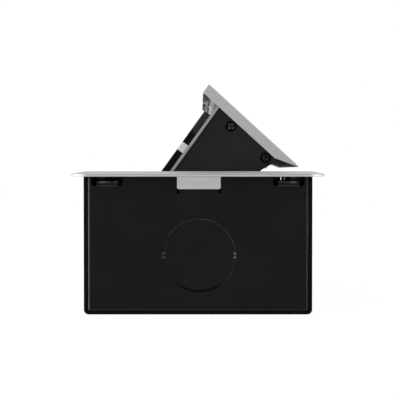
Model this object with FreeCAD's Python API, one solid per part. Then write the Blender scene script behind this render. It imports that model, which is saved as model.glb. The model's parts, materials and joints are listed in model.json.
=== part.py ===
"""Pop-up socket unit for a worktop: a steel box, an aluminium frame, and a lid that flips up a socket row.

Millimetres, +Z up. The origin is the middle of the box's floor. X runs across the lid, from its free edge
on the left to its hinge on the right, and Y runs along the socket row. The lid stands open.
"""
import math
import os

import FreeCAD
import Part

V = FreeCAD.Vector
ORIGIN = V(0, 0, 0)
ALONG_X = V(1, 0, 0)
ALONG_Y = V(0, 1, 0)
ALONG_Z = V(0, 0, 1)

# Fits
slip = 0.02              # radial clearance of a piece pressed or held in its seat
running = 0.05           # radial clearance of a turning or sliding piece
side_play = 0.15         # play beside a sliding or turning piece
near = 0.001             # closeness that counts as touching

# Row of modules, which sets the length of everything else
module_pitch = 45.0
row_modules = 3

# Frame, the flange that rests on the worktop
frame_overhang = 5.6     # past the long walls
frame_end_overhang = 5.5
frame_thickness = 2.6
frame_corner = 4.0
frame_bevel = 6.0        # width of the shallow slope round its top
frame_rim = 1.35         # height left at its outer edge
frame_bevel_corner = 1.0
frame_edge = 0.55
seat_rebate = 0.6        # depth of the rebate over the box walls
rebate_play = 0.2
lid_gap = 0.7            # gap round the lid in the frame's opening
hinge_gap = 0.9          # gap at the lid's tail
opening_edge = 0.5

# Box of folded sheet
box_width = 110.0
hinge_space = 11.5       # from the lid's end to the outside of the end wall
box_height = 66.4        # floor to the worktop's surface
sheet = 1.6
bend = 2.4
wall_play = 0.15        # beside an end wall between the long walls
end_bend = 1.2           # outer radius of an end wall's folds
end_flange = 7.0         # folds of an end wall along the floor and the long walls
fold_gap = 1.0           # between a fold and the hinge bracket
window_margin = 2.0      # windows in an end wall, over the frame screws
window_width = 15.4
window_depth = 4.6
window_slant = 1.0
lug_reach = 8.0          # of a frame screw's lug, from the wall inwards
lug_inset = 2.6
lug_rise = 2.9           # of the tongue that carries a lug, over the window's floor
lug_set = 0.8            # of the tongue behind the wall's face
tab_width = 21.0         # frame tab that drops into the end wall's notch
tab_drop = 6.0
tab_offset = 0.4
tab_play = 0.35
relief_size = 1.8
knockout_radius = 17.7
knockout_height = 28.5
knockout_offset = 0.6
knockout_slit = 0.5
knockout_tie = 2.4
knockout_score = 0.9     # depth of the scored ring
knockout_nib = 0.35      # rise of the punched nib on a tie
knockout_nib_width = 1.4
fixing_hole = 2.25       # screw holes through the long walls into the cut-out's edge
fixing_drop = 6.8        # below the worktop's surface

# Frame screws, up through the lugs into the frame
frame_screw_inset = 5.7  # from the outside of the end wall
frame_screw_shank = 1.4
frame_screw_head = 2.7
frame_screw_head_height = 1.8
frame_screw_bite = 1.2

# Hinge
pivot_inset = 8.51       # from the long wall
pivot_drop = 18.34       # below the frame's top
open_angle = 42.4
shaft_radius = 2.5
shaft_overhang = 1.8
bush_wall = 1.5
bush_flange = 1.0
bush_flange_rim = 1.6
bracket_sheet = 2.0
bracket_rim = 7.0
bracket_height = 26.0
bracket_rise = 7.0       # from the pivot up to the bracket's top
bracket_flange_play = 0.3
rivet_radius = 1.3
rivet_head = 2.0
rivet_head_height = 1.0
rivet_spacing = 14.0
clip_rim = 2.2
clip_groove = 0.4
clip_thickness = 0.8

# Lid, shut
latch_space = 28.0       # from the long wall to the lid's free edge
tail_reach = 10.6        # from the lid's tail to the pivot
lid_margin = 7.5         # from the modules to the lid's end
lid_thickness = 5.0
lid_bevel = 11.5
lid_tip = 0.3
lid_edge = 0.25
grip_width = 4.2         # rubber strips under the lid's lip, for the fingertips
grip_thickness = 0.9
grip_inset = 0.6
grip_margin = 3.0        # from the lid's ends and from the striker
lid_lug_margin = 4.0
lid_lug_drop = 6.6
lid_lug_width = 4.4

# Socket face
face_lean = 6.6          # lean of the face under the lid's lip, in degrees
lip_overhang = 10.04
face_foot = 1.3          # below the bezel
face_sheet = 1.35
face_seat = 0.19
bezel_drop = 5.5         # below the lid
bezel_rim = 2.0          # above and below the modules
bezel_thickness = 3.5
bezel_border = 6.5
bezel_edge = 0.8
clip_drop = 26.3         # from the lid to a clip's middle
clip_width = 4.6
clip_web = 0.7           # bezel left behind a clip
clip_leg = 1.2           # fold of a clip over the bezel's end
module_play = 0.15
module_recess = 0.8      # module front behind the bezel's front
module_depth = 22.0
cup_rim = 3.0
cup_depth = 17.0
cup_edge = 0.7
pin_spacing = 19.0
pin_radius = 2.5
sleeve_wall = 0.5
earth_clip_width = 4.0
earth_clip_sheet = 0.8
earth_clip_proud = 1.0
usb_width = 5.2
usb_height = 13.2
usb_spacing = 17.0
port_depth = 12.0
jack_width = 12.0
jack_height = 11.5
jack_key_width = 6.2
jack_key_height = 2.6
jack_spacing = 19.0

# Side plates
plate_sheet = 2.0
plate_inset = 0.8        # from the lid's end
plate_depth = 31.0
plate_chamfer = 9.0
relief_play = 2.65       # round the frame's edge
arm_angle = 135.0        # open, where the arm leaves the relief
arm_boss = 7.0
plate_screw_first = 21.83  # from the lid's free edge
plate_screw_last = 14.86   # from the lid's tail
plate_screw_drop = 7.88
plate_screw_head = 2.85
plate_screw_shank = 1.5
plate_screw_length = 6.0

# Damper gearing
gear_module = 1.0
sector_teeth = 48
pinion_teeth = 12
pressure_angle = 25.0
addendum = 0.8
dedendum = 1.05
backlash = 0.16
centre_play = 0.08
mesh_angle = 235.0
teeth_before = 7
teeth_after = 1
sector_thickness = 2.5
sector_hub = 6.5
sector_rivet = 1.2
pinion_play = 0.2
pinion_shaft = 1.5
damper_radius = 9.0
damper_ear = 3.2
damper_ear_sheet = 1.8
damper_ear_reach = 12.2
damper_screw = 1.25
damper_screw_head = 2.2
damper_screw_head_height = 1.4

# Spiral spring
spring_half_turns = 7
spring_strip = 0.7
spring_width = 8.0
spring_outer = 7.5
spring_gap = 1.0         # from the front side plate
spring_tail = 10.0
anchor_size = 6.0
anchor_wall = 1.1

# Latch and release button
bolt_width = 16.0
bolt_height = 3.6
bolt_length = 20.0
bolt_nose = 0.8
bolt_upright = 1.6
bolt_heel = 2.2          # slope under the upright, clear of the open bezel
tongue_length = 1.6
tongue_thickness = 1.5
bolt_travel = 2.6
bolt_drop = 7.5          # top of the bolt below the frame's top
bolt_reach = 0.1         # retracted tongue inside the frame's edge
cam_length = 3.0
cam_width = 6.0
cam_setback = 10.0       # from the tongue's tip to the cam slot's middle
button_length = 24.0
button_width = 12.0
button_corner = 2.0
button_dish = 0.8
case_wall = 1.6
case_floor = 2.2
case_ear = 7.0
case_ear_depth = 8.0
case_ear_height = 3.0
case_screw = 1.25
case_screw_head = 2.2
case_screw_bite = 1.3
case_front_gap = 0.9
leaf_length = 4.0        # bolt spring, pressed
leaf_sheet = 0.5
leaf_waves = 2
striker_sheet = 0.7
striker_width = 18.0
striker_depth = 7.0
striker_gap = 0.3
striker_inset = 0.2      # from the lid's free edge
pocket_play = 0.8        # past the tongue's tip

# Stops, earth stud and supply terminal
pad_width = 5.0
pad_play = 0.3
buffer_radius = 4.0
buffer_play = 0.3
stud_radius = 2.0
stud_height = 14.0
nut_flats = 7.0
nut_height = 3.2
terminal_length = 36.0
terminal_width = 20.0
terminal_height = 16.0
terminal_screw = 2.2
terminal_mouth = 2.6
terminal_ways = 3

# Levels and places worked out from the sizes above
lid_width = row_modules * module_pitch + 2 * lid_margin
box_length = lid_width + 2 * hinge_space
frame_width = box_width + 2 * frame_overhang
frame_length = box_length + 2 * frame_end_overhang
half_pitch = module_pitch / 2
bezel_height = module_pitch + 2 * bezel_rim
face_height = bezel_drop + bezel_height + face_foot
cup_radius = half_pitch - cup_rim
frame_top = box_height + frame_thickness
frame_under = box_height + seat_rebate
pivot_z = frame_top - pivot_drop
wall_in = box_width / 2 - sheet
end_out = box_length / 2
end_in = end_out - sheet
window_outer = wall_in - window_margin
window_inner = window_outer - window_width
window_floor = box_height - window_depth
lug_top = window_floor + lug_rise
frame_screw_x = (window_inner + window_outer) / 2
fixing_height = box_height - fixing_drop
fixing_spacing = (row_modules - 1) * module_pitch
pivot_x = wall_in - pivot_inset
lid_free = latch_space - wall_in
lid_tail = pivot_x - tail_reach
lid_under = frame_top - lid_thickness
lid_end = lid_width / 2
opening_left = lid_free - lid_gap
opening_right = lid_tail + hinge_gap
opening_end = lid_end + lid_gap
relief_radius = math.hypot(pivot_x - opening_right, pivot_drop) + relief_play
plate_out = lid_end - plate_inset
plate_in = plate_out - plate_sheet
face_top_x = lid_free + lip_overhang
face_top_z = lid_under - face_seat
lean = math.radians(face_lean)
face_bottom_z = face_top_z - face_height * math.cos(lean)
face_middle = -bezel_drop - bezel_height / 2
row_start = -row_modules * half_pitch
bezel_end = bezel_border - row_start
module_front = module_recess - bezel_thickness
gear_out = plate_out + sector_thickness
bush_in = gear_out + side_play
bracket_in = bush_in + bush_flange
bracket_out = bracket_in + bracket_sheet
bracket_top = pivot_z + bracket_rise
bracket_under = bracket_top - bracket_height
clip_in = bracket_out + side_play
shaft_end = clip_in + clip_thickness + shaft_overhang
bush_radius = shaft_radius + running + bush_wall
sector_radius = gear_module * sector_teeth / 2
pinion_radius = gear_module * pinion_teeth / 2
gear_centres = sector_radius + pinion_radius + centre_play
pinion_x = pivot_x + gear_centres * math.cos(math.radians(mesh_angle))
pinion_z = pivot_z + gear_centres * math.sin(math.radians(mesh_angle))
bolt_top = frame_top - bolt_drop
bolt_under = bolt_top - bolt_height
bolt_tip = opening_left + bolt_reach
tongue_top = frame_under - 2 * running
tongue_under = tongue_top - tongue_thickness
upright_front = bolt_tip - tongue_length
upright_back = upright_front - bolt_upright
bolt_back = bolt_tip - bolt_length
button_x = bolt_tip - cam_setback
case_top = frame_under
case_under = bolt_under - side_play - case_floor
case_front = opening_left - case_front_gap
case_back = bolt_back - leaf_length - case_wall
case_end = button_length / 2 + side_play + case_wall
button_top = frame_top - bolt_travel
button_under = bolt_top + side_play
spring_start = -(plate_in - spring_gap)
spring_end = spring_start + spring_width
damper_front = gear_out + pinion_play


# Shapes

def block(x0, x1, y0, y1, z0, z1):
    """A box between two corners."""
    return Part.makeBox(x1 - x0, y1 - y0, z1 - z0, V(x0, y0, z0))


def rod(axis, centre, radius, start, end):
    """A cylinder along axis through centre, from start to end measured along the axis."""
    foot = centre - axis * centre.dot(axis) + axis * start
    return Part.makeCylinder(radius, end - start, foot, axis)


def ring(axis, centre, outer, inner, start, end):
    """A tube along axis."""
    return rod(axis, centre, outer, start, end).cut(rod(axis, centre, inner, start, end))


def edges_along(shape, axis):
    """The straight edges of a shape that run along axis."""
    return [e for e in shape.Edges
            if isinstance(e.Curve, Part.Line) and abs(abs(e.Curve.Direction.dot(axis)) - 1) < near ** 2]


def soft_block(x0, x1, y0, y1, z0, z1, radius, axis=ALONG_Z):
    """A box whose edges along axis are rounded."""
    solid = block(x0, x1, y0, y1, z0, z1)
    return solid.makeFillet(radius, edges_along(solid, axis))


def rounded_outline(half_x, half_y, corner, z):
    """The outline of a rectangle with round corners, level at z."""
    x = half_x - corner
    y = half_y - corner
    edges = []
    for turn, (cx, cy) in enumerate(((x, y), (-x, y), (-x, -y), (x, -y))):
        quarter = Part.makeCircle(corner, V(cx, cy, z), ALONG_Z, 90 * turn, 90 * turn + 90)
        if edges:
            edges.append(Part.makeLine(edges[-1].Vertexes[-1].Point, quarter.Vertexes[0].Point))
        edges.append(quarter)
    edges.append(Part.makeLine(edges[-1].Vertexes[-1].Point, edges[0].Vertexes[0].Point))
    return Part.Wire(edges)


def prism_xz(points, y0, y1):
    """A polygon of (x, z) points, drawn out along Y."""
    corners = [V(x, y0, z) for x, z in points]
    face = Part.Face(Part.makePolygon(corners + corners[:1]))
    return face.extrude(ALONG_Y * (y1 - y0))


def across(shape):
    """The same piece at the other end of the unit."""
    return shape.mirror(ORIGIN, ALONG_Y)


def pair(shape):
    """A piece and its copy at the other end."""
    return Part.makeCompound([shape, across(shape)])


def polar(cx, cz, radius, degrees):
    """The (x, z) point at an angle about a centre, counted from +X towards +Z."""
    a = math.radians(degrees)
    return cx + radius * math.cos(a), cz + radius * math.sin(a)


def opened(shape):
    """Turns a piece from the shut lid's place to the open one."""
    turned = shape.copy()
    turned.rotate(V(pivot_x, 0, pivot_z), ALONG_Y, open_angle)
    return turned


def on_face(shape):
    """Sets a piece of the socket row on the leaning face: local X goes in, local Z goes up from 0."""
    leaning = shape.copy()
    leaning.rotate(ORIGIN, ALONG_Y, -face_lean)
    leaning.translate(V(face_top_x, 0, face_top_z))
    return opened(leaning)


def face_point(inward, down):
    """The (x, z) of a point of the leaning face, with the lid shut."""
    x = face_top_x + inward * math.cos(lean) + down * math.sin(lean)
    z = face_top_z + inward * math.sin(lean) - down * math.cos(lean)
    return x, z


def wire_prism(edges, y0, y1):
    """A closed run of edges in the plane y = y0, drawn out along Y."""
    face = Part.Face(Part.Wire(Part.__sortEdges__(edges)))
    return face.extrude(ALONG_Y * (y1 - y0))


def line(a, b, y):
    """A straight edge between two (x, z) points."""
    return Part.LineSegment(V(a[0], y, a[1]), V(b[0], y, b[1])).toShape()


def arc(a, middle, b, y):
    """A round edge through three (x, z) points."""
    return Part.Arc(V(a[0], y, a[1]), V(middle[0], y, middle[1]), V(b[0], y, b[1])).toShape()


def tangent_angle(point, radius, side):
    """The angle about the pivot where a line from a point touches a circle round it. Side is 1 or -1."""
    dx = point[0] - pivot_x
    dz = point[1] - pivot_z
    spread = math.degrees(math.acos(radius / math.hypot(dx, dz)))
    return math.degrees(math.atan2(dz, dx)) + side * spread


# Housing

def box_shell():
    """The floor and both long walls, folded from one sheet."""
    outer = block(-box_width / 2, box_width / 2, -end_out, end_out, 0, frame_under)
    outer = outer.makeFillet(bend, [e for e in edges_along(outer, ALONG_Y) if e.CenterOfMass.z < sheet])
    inner = block(-wall_in, wall_in, -box_length, box_length, sheet, box_height + frame_thickness)
    folds = [e for e in edges_along(inner, ALONG_Y) if e.CenterOfMass.z < bend]
    inner = inner.makeFillet(bend - sheet, folds)
    shell = outer.cut(inner)
    for y in (-fixing_spacing / 2, fixing_spacing / 2):
        shell = shell.cut(rod(ALONG_X, V(0, y, fixing_height), fixing_hole, -box_width, box_width))
    for y, z in rivet_places():
        shell = shell.cut(rod(ALONG_X, V(0, y, z), rivet_radius + slip, 0, box_width))
    return shell


def end_wall():
    """The front end wall, a pan between the long walls, with its notch, windows, lugs and knockout."""
    half = wall_in - wall_play
    wall = block(-half, half, -end_out, -end_in, sheet, frame_under)
    fold_end = -end_in + end_flange
    fold_top = bracket_under - fold_gap
    folds = [block(-half + bend, half - bend, -end_out, fold_end, sheet, 2 * sheet),
             block(-half, -half + sheet, -end_out, fold_end, bend + sheet, fold_top),
             block(half - sheet, half, -end_out, fold_end, bend + sheet, fold_top)]
    wall = wall.fuse(folds).removeSplitter()
    corners = [e for e in edges_along(wall, ALONG_Y)
               if e.CenterOfMass.z < sheet + near and abs(e.CenterOfMass.x) > half - near]
    wall = wall.makeFillet(bend - sheet + wall_play, corners)
    rim = [e for e in wall.Edges
           if e.BoundBox.YMax < -end_out + near and e.CenterOfMass.z < frame_under - near]
    wall = wall.makeFillet(end_bend, rim)
    notch_half = tab_width / 2 + tab_play
    notch_floor = box_height - tab_drop - tab_play
    notch = block(tab_offset - notch_half, tab_offset + notch_half, -end_out, -end_in, notch_floor,
                  frame_top)
    wall = wall.cut(notch)
    for edge in (tab_offset - notch_half, tab_offset + notch_half - relief_size):
        relief = block(edge, edge + relief_size, -end_out, -end_in, notch_floor - relief_size, notch_floor)
        wall = wall.cut(relief)
    for side in (-1, 1):
        window = [(side * window_inner, frame_top), (side * window_outer, frame_top),
                  (side * window_outer, window_floor + window_slant),
                  (side * (window_outer - window_slant), window_floor),
                  (side * (window_inner + window_slant), window_floor),
                  (side * window_inner, window_floor + window_slant)]
        wall = wall.cut(prism_xz(window, -end_out, -end_in))
        hole = rod(ALONG_Z, frame_screw_place(side), frame_screw_shank + running, lug_top - 2 * sheet,
                   frame_top)
        wall = wall.fuse(frame_lug(side).cut(hole))
    centre = V(knockout_offset, 0, knockout_height)
    slit = ring(ALONG_Y, centre, knockout_radius, knockout_radius - knockout_slit, -end_out,
                -end_out + knockout_score)
    tie_half = knockout_tie / 2
    tie = block(-box_width, box_width, -end_out, -end_in, knockout_height - tie_half,
                knockout_height + tie_half)
    wall = wall.cut(slit.cut(tie))
    for side in (-1, 1):
        wall = wall.fuse(knockout_nib_at(knockout_offset + side * (knockout_radius - knockout_slit / 2)))
    return wall.removeSplitter()


def frame_lug(side):
    """A tongue in a window, set behind the wall's face and folded inwards to take a frame screw."""
    front = -end_out + lug_set
    inner = -end_in + lug_reach
    start = min(side * (window_inner + lug_inset), side * (window_outer - lug_inset))
    outline = [(front, window_floor - sheet), (front, lug_top), (inner, lug_top), (inner, lug_top - sheet),
               (front + sheet, lug_top - sheet), (front + sheet, window_floor),
               (-end_in, window_floor - sheet)]
    points = [V(start, y, z) for y, z in outline]
    width = window_width - 2 * lug_inset
    lug = Part.Face(Part.makePolygon(points + points[:1])).extrude(ALONG_X * width)
    fold = [e for e in edges_along(lug, ALONG_X)
            if e.CenterOfMass.y < front + near and e.CenterOfMass.z > lug_top - near]
    return lug.makeFillet(sheet - near, fold)


def knockout_nib_at(x):
    """The ridge that the punch leaves on a tie."""
    half = knockout_nib_width / 2
    points = [V(x - half, -end_out, knockout_height - knockout_tie / 2),
              V(x + half, -end_out, knockout_height - knockout_tie / 2),
              V(x, -end_out - knockout_nib, knockout_height - knockout_tie / 2)]
    return Part.Face(Part.makePolygon(points + points[:1])).extrude(ALONG_Z * knockout_tie)


def rear_end_wall():
    """The other end wall, which also carries the damper."""
    wall = across(end_wall())
    for place in damper_screw_places():
        wall = wall.cut(rod(ALONG_Y, place, damper_screw + slip, end_in, end_out))
    return wall


def frame_screw_place(side):
    """The middle of a frame screw at the front end."""
    return V(side * frame_screw_x, -(end_out - frame_screw_inset), 0)


def top_frame():
    """The flange: sloping rim, opening, rebate over the box, end tabs and button slot."""
    half_x = frame_width / 2
    half_y = frame_length / 2
    rim_top = box_height + frame_rim
    slab = soft_block(-half_x, half_x, -half_y, half_y, box_height, rim_top, frame_corner)
    slope = Part.makeLoft([rounded_outline(half_x, half_y, frame_corner, rim_top),
                           rounded_outline(half_x - frame_bevel, half_y - frame_bevel, frame_bevel_corner,
                                           frame_top)], True, True)
    slab = slab.fuse(slope).removeSplitter()
    rims = [e for e in slab.Edges if e.BoundBox.ZMax < rim_top + near
            and e.BoundBox.ZMax - e.BoundBox.ZMin < near]
    slab = slab.makeFillet(frame_edge, rims)
    rebate_x = box_width / 2 + rebate_play
    rebate_y = end_out + rebate_play
    slab = slab.cut(block(-rebate_x, rebate_x, -rebate_y, rebate_y, box_height - frame_edge, frame_under))
    hole = block(opening_left, opening_right, -opening_end, opening_end, box_height, frame_top)
    slab = slab.cut(hole)
    lips = [e for e in slab.Edges
            if isinstance(e.Curve, Part.Line) and abs(e.CenterOfMass.z - frame_top) < near
            and opening_left - near < e.CenterOfMass.x < opening_right + near
            and abs(e.CenterOfMass.y) < opening_end + near]
    slab = slab.makeFillet(opening_edge, lips)
    tab = block(tab_offset - tab_width / 2, tab_offset + tab_width / 2, -end_out, -end_in,
                box_height - tab_drop, frame_under)
    corners = [e for e in edges_along(tab, ALONG_Y) if e.CenterOfMass.z < box_height]
    tab = tab.makeFillet(relief_size / 2, corners)
    slab = slab.fuse([tab, across(tab)])
    for side in (-1, 1):
        bore = rod(ALONG_Z, frame_screw_place(side), frame_screw_shank + slip, frame_under,
                   frame_under + frame_screw_bite)
        slab = slab.cut(bore).cut(across(bore))
    slot = soft_block(button_x - button_width / 2 - side_play, button_x + button_width / 2 + side_play,
                      -button_length / 2 - side_play, button_length / 2 + side_play, box_height, frame_top,
                      button_corner + side_play)
    slab = slab.cut(slot)
    for place in case_screw_places():
        slab = slab.cut(rod(ALONG_Z, place, case_screw + slip, frame_under, frame_under + case_screw_bite))
    return slab.removeSplitter()


def frame_screws():
    """Four pan head screws, up through the lugs into the frame."""
    screws = []
    for side in (-1, 1):
        place = frame_screw_place(side)
        seat = lug_top - sheet
        head = rod(ALONG_Z, place, frame_screw_head, seat - frame_screw_head_height, seat)
        head = head.makeChamfer(frame_screw_head_height / 3, head.Edges[2:3])
        shank = rod(ALONG_Z, place, frame_screw_shank, seat, frame_under + frame_screw_bite)
        screw = head.fuse(shank)
        screws += [screw, across(screw)]
    return Part.makeCompound(screws)


def rivet_places():
    """The (y, z) of the bracket rivets through the hinge side's long wall."""
    y = (bracket_out + end_in - bracket_flange_play) / 2
    middle = (bracket_top + bracket_under) / 2
    return [(end * y, middle + step * rivet_spacing / 2) for end in (-1, 1) for step in (-1, 1)]


def hinge_bracket():
    """The front hinge bracket: a plate round the bush, folded along the long wall."""
    plate = block(pivot_x, wall_in, -bracket_out, -bracket_in, bracket_under, bracket_top)
    plate = plate.fuse(rod(ALONG_Y, V(pivot_x, 0, pivot_z), bracket_rim, -bracket_out, -bracket_in))
    gusset = [(pivot_x - bracket_rim, pivot_z), (pivot_x, pivot_z), (pivot_x, bracket_under)]
    plate = plate.fuse(prism_xz(gusset, -bracket_out, -bracket_in))
    fold = block(wall_in - bracket_sheet, wall_in, -end_in + bracket_flange_play, -bracket_in, bracket_under,
                 bracket_top)
    plate = plate.fuse(fold)
    plate = plate.cut(rod(ALONG_Y, V(pivot_x, 0, pivot_z), bush_radius + slip, -bracket_out, -bracket_in))
    for y, z in rivet_places():
        plate = plate.cut(rod(ALONG_X, V(0, y, z), rivet_radius + slip, 0, box_width))
    return plate.removeSplitter()


def bracket_rivets():
    """Rivets through the brackets and the long wall, flush outside."""
    rivets = []
    for y, z in rivet_places():
        seat = wall_in - bracket_sheet
        shank = rod(ALONG_X, V(0, y, z), rivet_radius, seat, box_width / 2)
        head = rod(ALONG_X, V(0, y, z), rivet_head, seat - rivet_head_height, seat)
        rivets.append(shank.fuse(head))
    return Part.makeCompound(rivets)


def hinge_bushes():
    """A flanged bush in each bracket."""
    centre = V(pivot_x, 0, pivot_z)
    bore = shaft_radius + running
    bush = ring(ALONG_Y, centre, bush_radius, bore, -bracket_out, -bush_in)
    bush = bush.fuse(ring(ALONG_Y, centre, bush_radius + bush_flange_rim, bore, -bracket_in, -bush_in))
    return pair(bush.removeSplitter())


def spring_anchor():
    """The clip on the long wall that holds the spring's tail."""
    tail_out = pivot_x + spring_outer
    low = pivot_z - spring_tail - anchor_wall
    body = block(tail_out - spring_strip - slip - anchor_wall, wall_in, spring_start, spring_end,
                 low, low + anchor_size)
    slot = block(tail_out - spring_strip - slip, tail_out + slip, spring_start, spring_end,
                 pivot_z - spring_tail, low + anchor_size)
    return body.cut(slot)


def damper_screw_places():
    """The middles of the two damper screws."""
    return [V(pinion_x, 0, pinion_z + side * damper_ear_reach) for side in (-1, 1)]


def damper_body():
    """The rotary damper's can, with ears against the rear end wall."""
    centre = V(pinion_x, 0, pinion_z)
    can = rod(ALONG_Y, centre, damper_radius, damper_front, end_in)
    ears = block(pinion_x - damper_ear, pinion_x + damper_ear, end_in - damper_ear_sheet, end_in,
                 pinion_z - damper_ear_reach, pinion_z + damper_ear_reach)
    can = can.fuse(ears)
    for place in damper_screw_places():
        can = can.fuse(rod(ALONG_Y, place, damper_ear, end_in - damper_ear_sheet, end_in))
    for place in damper_screw_places():
        can = can.cut(rod(ALONG_Y, place, damper_screw + slip, damper_front, end_in))
    bore = rod(ALONG_Y, centre, pinion_shaft + running, damper_front, pinion_shaft_end() + side_play)
    return can.cut(bore).removeSplitter()


def pinion_shaft_end():
    """Where the pinion's stub ends inside the damper."""
    return (damper_front + end_in) / 2


def damper_screws():
    """Two screws through the damper's ears and the rear end wall."""
    screws = []
    for place in damper_screw_places():
        seat = end_in - damper_ear_sheet
        head = rod(ALONG_Y, place, damper_screw_head, seat - damper_screw_head_height, seat)
        screws.append(head.fuse(rod(ALONG_Y, place, damper_screw, seat, end_out)))
    return Part.makeCompound(screws)


def case_screw_places():
    """The middles of the two screws that hold the latch case under the frame."""
    y = case_end + case_ear / 2
    x = (case_front + case_back) / 2
    return [V(x, -y, 0), V(x, y, 0)]


def latch_case():
    """The case under the frame that guides the bolt and the button."""
    case = block(case_back, case_front, -case_end, case_end, case_under, case_top)
    ear_x = (case_front + case_back) / 2
    ears = soft_block(ear_x - case_ear_depth / 2, ear_x + case_ear_depth / 2, -case_end - case_ear,
                      case_end + case_ear, case_top - case_ear_height, case_top, case_ear_depth / 4)
    case = case.fuse(ears)
    guide_half = bolt_width / 2 + running
    guide = block(case_back + case_wall, case_front, -guide_half, guide_half, bolt_under - running,
                  bolt_top + running)
    pocket = soft_block(button_x - button_width / 2 - side_play, button_x + button_width / 2 + side_play,
                        -button_length / 2 - side_play, button_length / 2 + side_play,
                        bolt_top + running, case_top, button_corner + side_play)
    mouth = block(button_x, case_front, -guide_half, guide_half, bolt_under - running, case_top)
    case = case.cut(guide).cut(pocket).cut(mouth)
    for place in case_screw_places():
        case = case.cut(rod(ALONG_Z, place, case_screw + slip, case_under, case_top))
    return case.removeSplitter()


def bolt_spring():
    """The wavy leaf spring behind the bolt, pressed flat by it."""
    half = bolt_width / 2 - side_play
    step = 2 * half / (2 * leaf_waves)
    crest = bolt_back - leaf_sheet - slip
    trough = case_back + case_wall + slip
    wave = [(-half + i * step, crest if i % 2 else trough) for i in range(2 * leaf_waves + 1)]
    back = [(y, x) for y, x in wave]
    front = [(y, x + leaf_sheet) for y, x in reversed(wave)]
    points = [V(x, y, bolt_under + side_play) for y, x in back + front]
    strip = Part.Face(Part.makePolygon(points + points[:1]))
    return strip.extrude(ALONG_Z * (bolt_height - 2 * side_play))


def latch_screws():
    """Two screws up through the latch case's ears into the frame."""
    screws = []
    for place in case_screw_places():
        seat = case_top - case_ear_height
        head = rod(ALONG_Z, place, case_screw_head, seat - case_screw_head / 2, seat)
        screws.append(head.fuse(rod(ALONG_Z, place, case_screw, seat, frame_under + case_screw_bite)))
    return Part.makeCompound(screws)


def open_stop_pads():
    """Rubber pads under the frame, where the hinge arms come to rest."""
    foot = polar(pivot_x, pivot_z, relief_radius, arm_angle)
    touch = polar(pivot_x, pivot_z, arm_boss, tangent_angle(foot, arm_boss, -1))
    slope = (touch[1] - foot[1]) / (touch[0] - foot[0])
    rise = pad_play * math.hypot(1, slope)
    near = opening_right + pad_play
    far = near + pad_width
    outline = [(near, frame_under), (far, frame_under),
               (far, foot[1] + (far - foot[0]) * slope + rise),
               (near, foot[1] + (near - foot[0]) * slope + rise)]
    return pair(prism_xz(outline, -plate_out, -plate_in))


def closing_buffers():
    """Rubber buffers on the floor, where the side plates come to rest when the lid is shut."""
    x = face_point(face_sheet, face_height)[0] + plate_depth / 3
    centre = V(x, -(plate_in + plate_out) / 2, 0)
    high = face_bottom_z - buffer_play
    buffer = rod(ALONG_Z, centre, buffer_radius, sheet, high)
    rim = [e for e in buffer.Edges if e.BoundBox.ZMin > high - near]
    return pair(buffer.makeChamfer(min(buffer_radius, high - sheet) / 4, rim))


def terminal_block():
    """The supply terminal on the floor, a way for each conductor."""
    left = -wall_in + terminal_height / 4
    right = left + terminal_width
    half = terminal_length / 2
    body = block(left, right, -half, half, sheet, sheet + terminal_height)
    shoulders = [e for e in edges_along(body, ALONG_Y) if e.CenterOfMass.z > sheet + near]
    body = body.makeChamfer(terminal_screw, shoulders)
    pitch = terminal_length / terminal_ways
    for way in range(terminal_ways):
        y = -half + (way + 0.5) * pitch
        top = sheet + terminal_height
        body = body.cut(rod(ALONG_Z, V((left + right) / 2, y, 0), terminal_screw, top - terminal_screw, top))
        mouth = V(0, y, sheet + terminal_height / 3)
        body = body.cut(rod(ALONG_X, mouth, terminal_mouth, right - terminal_width / 3, right))
        body = body.cut(rod(ALONG_X, mouth, terminal_mouth, left, left + terminal_width / 3))
    return body


def earth_stud():
    """The earth stud on the floor and its nut."""
    place = V(-wall_in + terminal_height / 4 + terminal_width / 2, fixing_spacing / 2, 0)
    stud = rod(ALONG_Z, place, stud_radius, sheet, sheet + stud_height)
    corner = nut_flats / 2 / math.cos(math.pi / 6)
    points = [place + V(corner * math.cos(i * math.pi / 3), corner * math.sin(i * math.pi / 3), sheet)
              for i in range(6)]
    nut = Part.Face(Part.makePolygon(points + points[:1])).extrude(ALONG_Z * nut_height)
    nut = nut.cut(rod(ALONG_Z, place, stud_radius + slip, 0, frame_top))
    return Part.makeCompound([stud, nut])


# Carrier, drawn shut and then turned open

def plate_screw_places():
    """The (x, z) of a side plate's screws, with the lid shut."""
    return [(x, frame_top - plate_screw_drop)
            for x in (lid_free + plate_screw_first, lid_tail - plate_screw_last)]


def lid():
    """The lid: a plate with a leaning free edge, a bevelled tail and a screw lug at each end."""
    outline = [(lid_free, frame_top), (lid_tail, frame_top), (lid_tail, frame_top - lid_tip),
               (lid_tail - lid_bevel, lid_under), (lid_free + lid_thickness * math.tan(lean), lid_under)]
    plate = prism_xz(outline, -lid_end, lid_end)
    plate = plate.makeFillet(lid_edge, [e for e in plate.Edges if e.BoundBox.ZMin > frame_top - near])
    plate = plate.cut(tongue_pocket())
    places = plate_screw_places()
    lug = block(places[0][0] - lid_lug_margin, places[1][0] + lid_lug_margin - lid_tip, -plate_in,
                -plate_in + lid_lug_width, lid_under - lid_lug_drop, lid_under)
    for x, z in places:
        bore = plate_screw_shank + slip
        lug = lug.cut(rod(ALONG_Y, V(x, 0, z), bore, -plate_in, -plate_in + lid_lug_width))
    return opened(plate.fuse([lug, across(lug)]).removeSplitter())


def lip_grips():
    """Two rubber strips under the lid's lip, one on each side of the striker."""
    left = lid_free + lid_thickness * math.tan(lean) + grip_inset
    strip = soft_block(left, left + grip_width, striker_width / 2 + grip_margin, lid_end - grip_margin,
                       lid_under - grip_thickness, lid_under, grip_width / 3)
    rims = [e for e in strip.Edges if e.BoundBox.ZMax < lid_under - grip_thickness + near]
    return opened(pair(strip.makeFillet(grip_thickness / 3, rims)))


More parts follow.
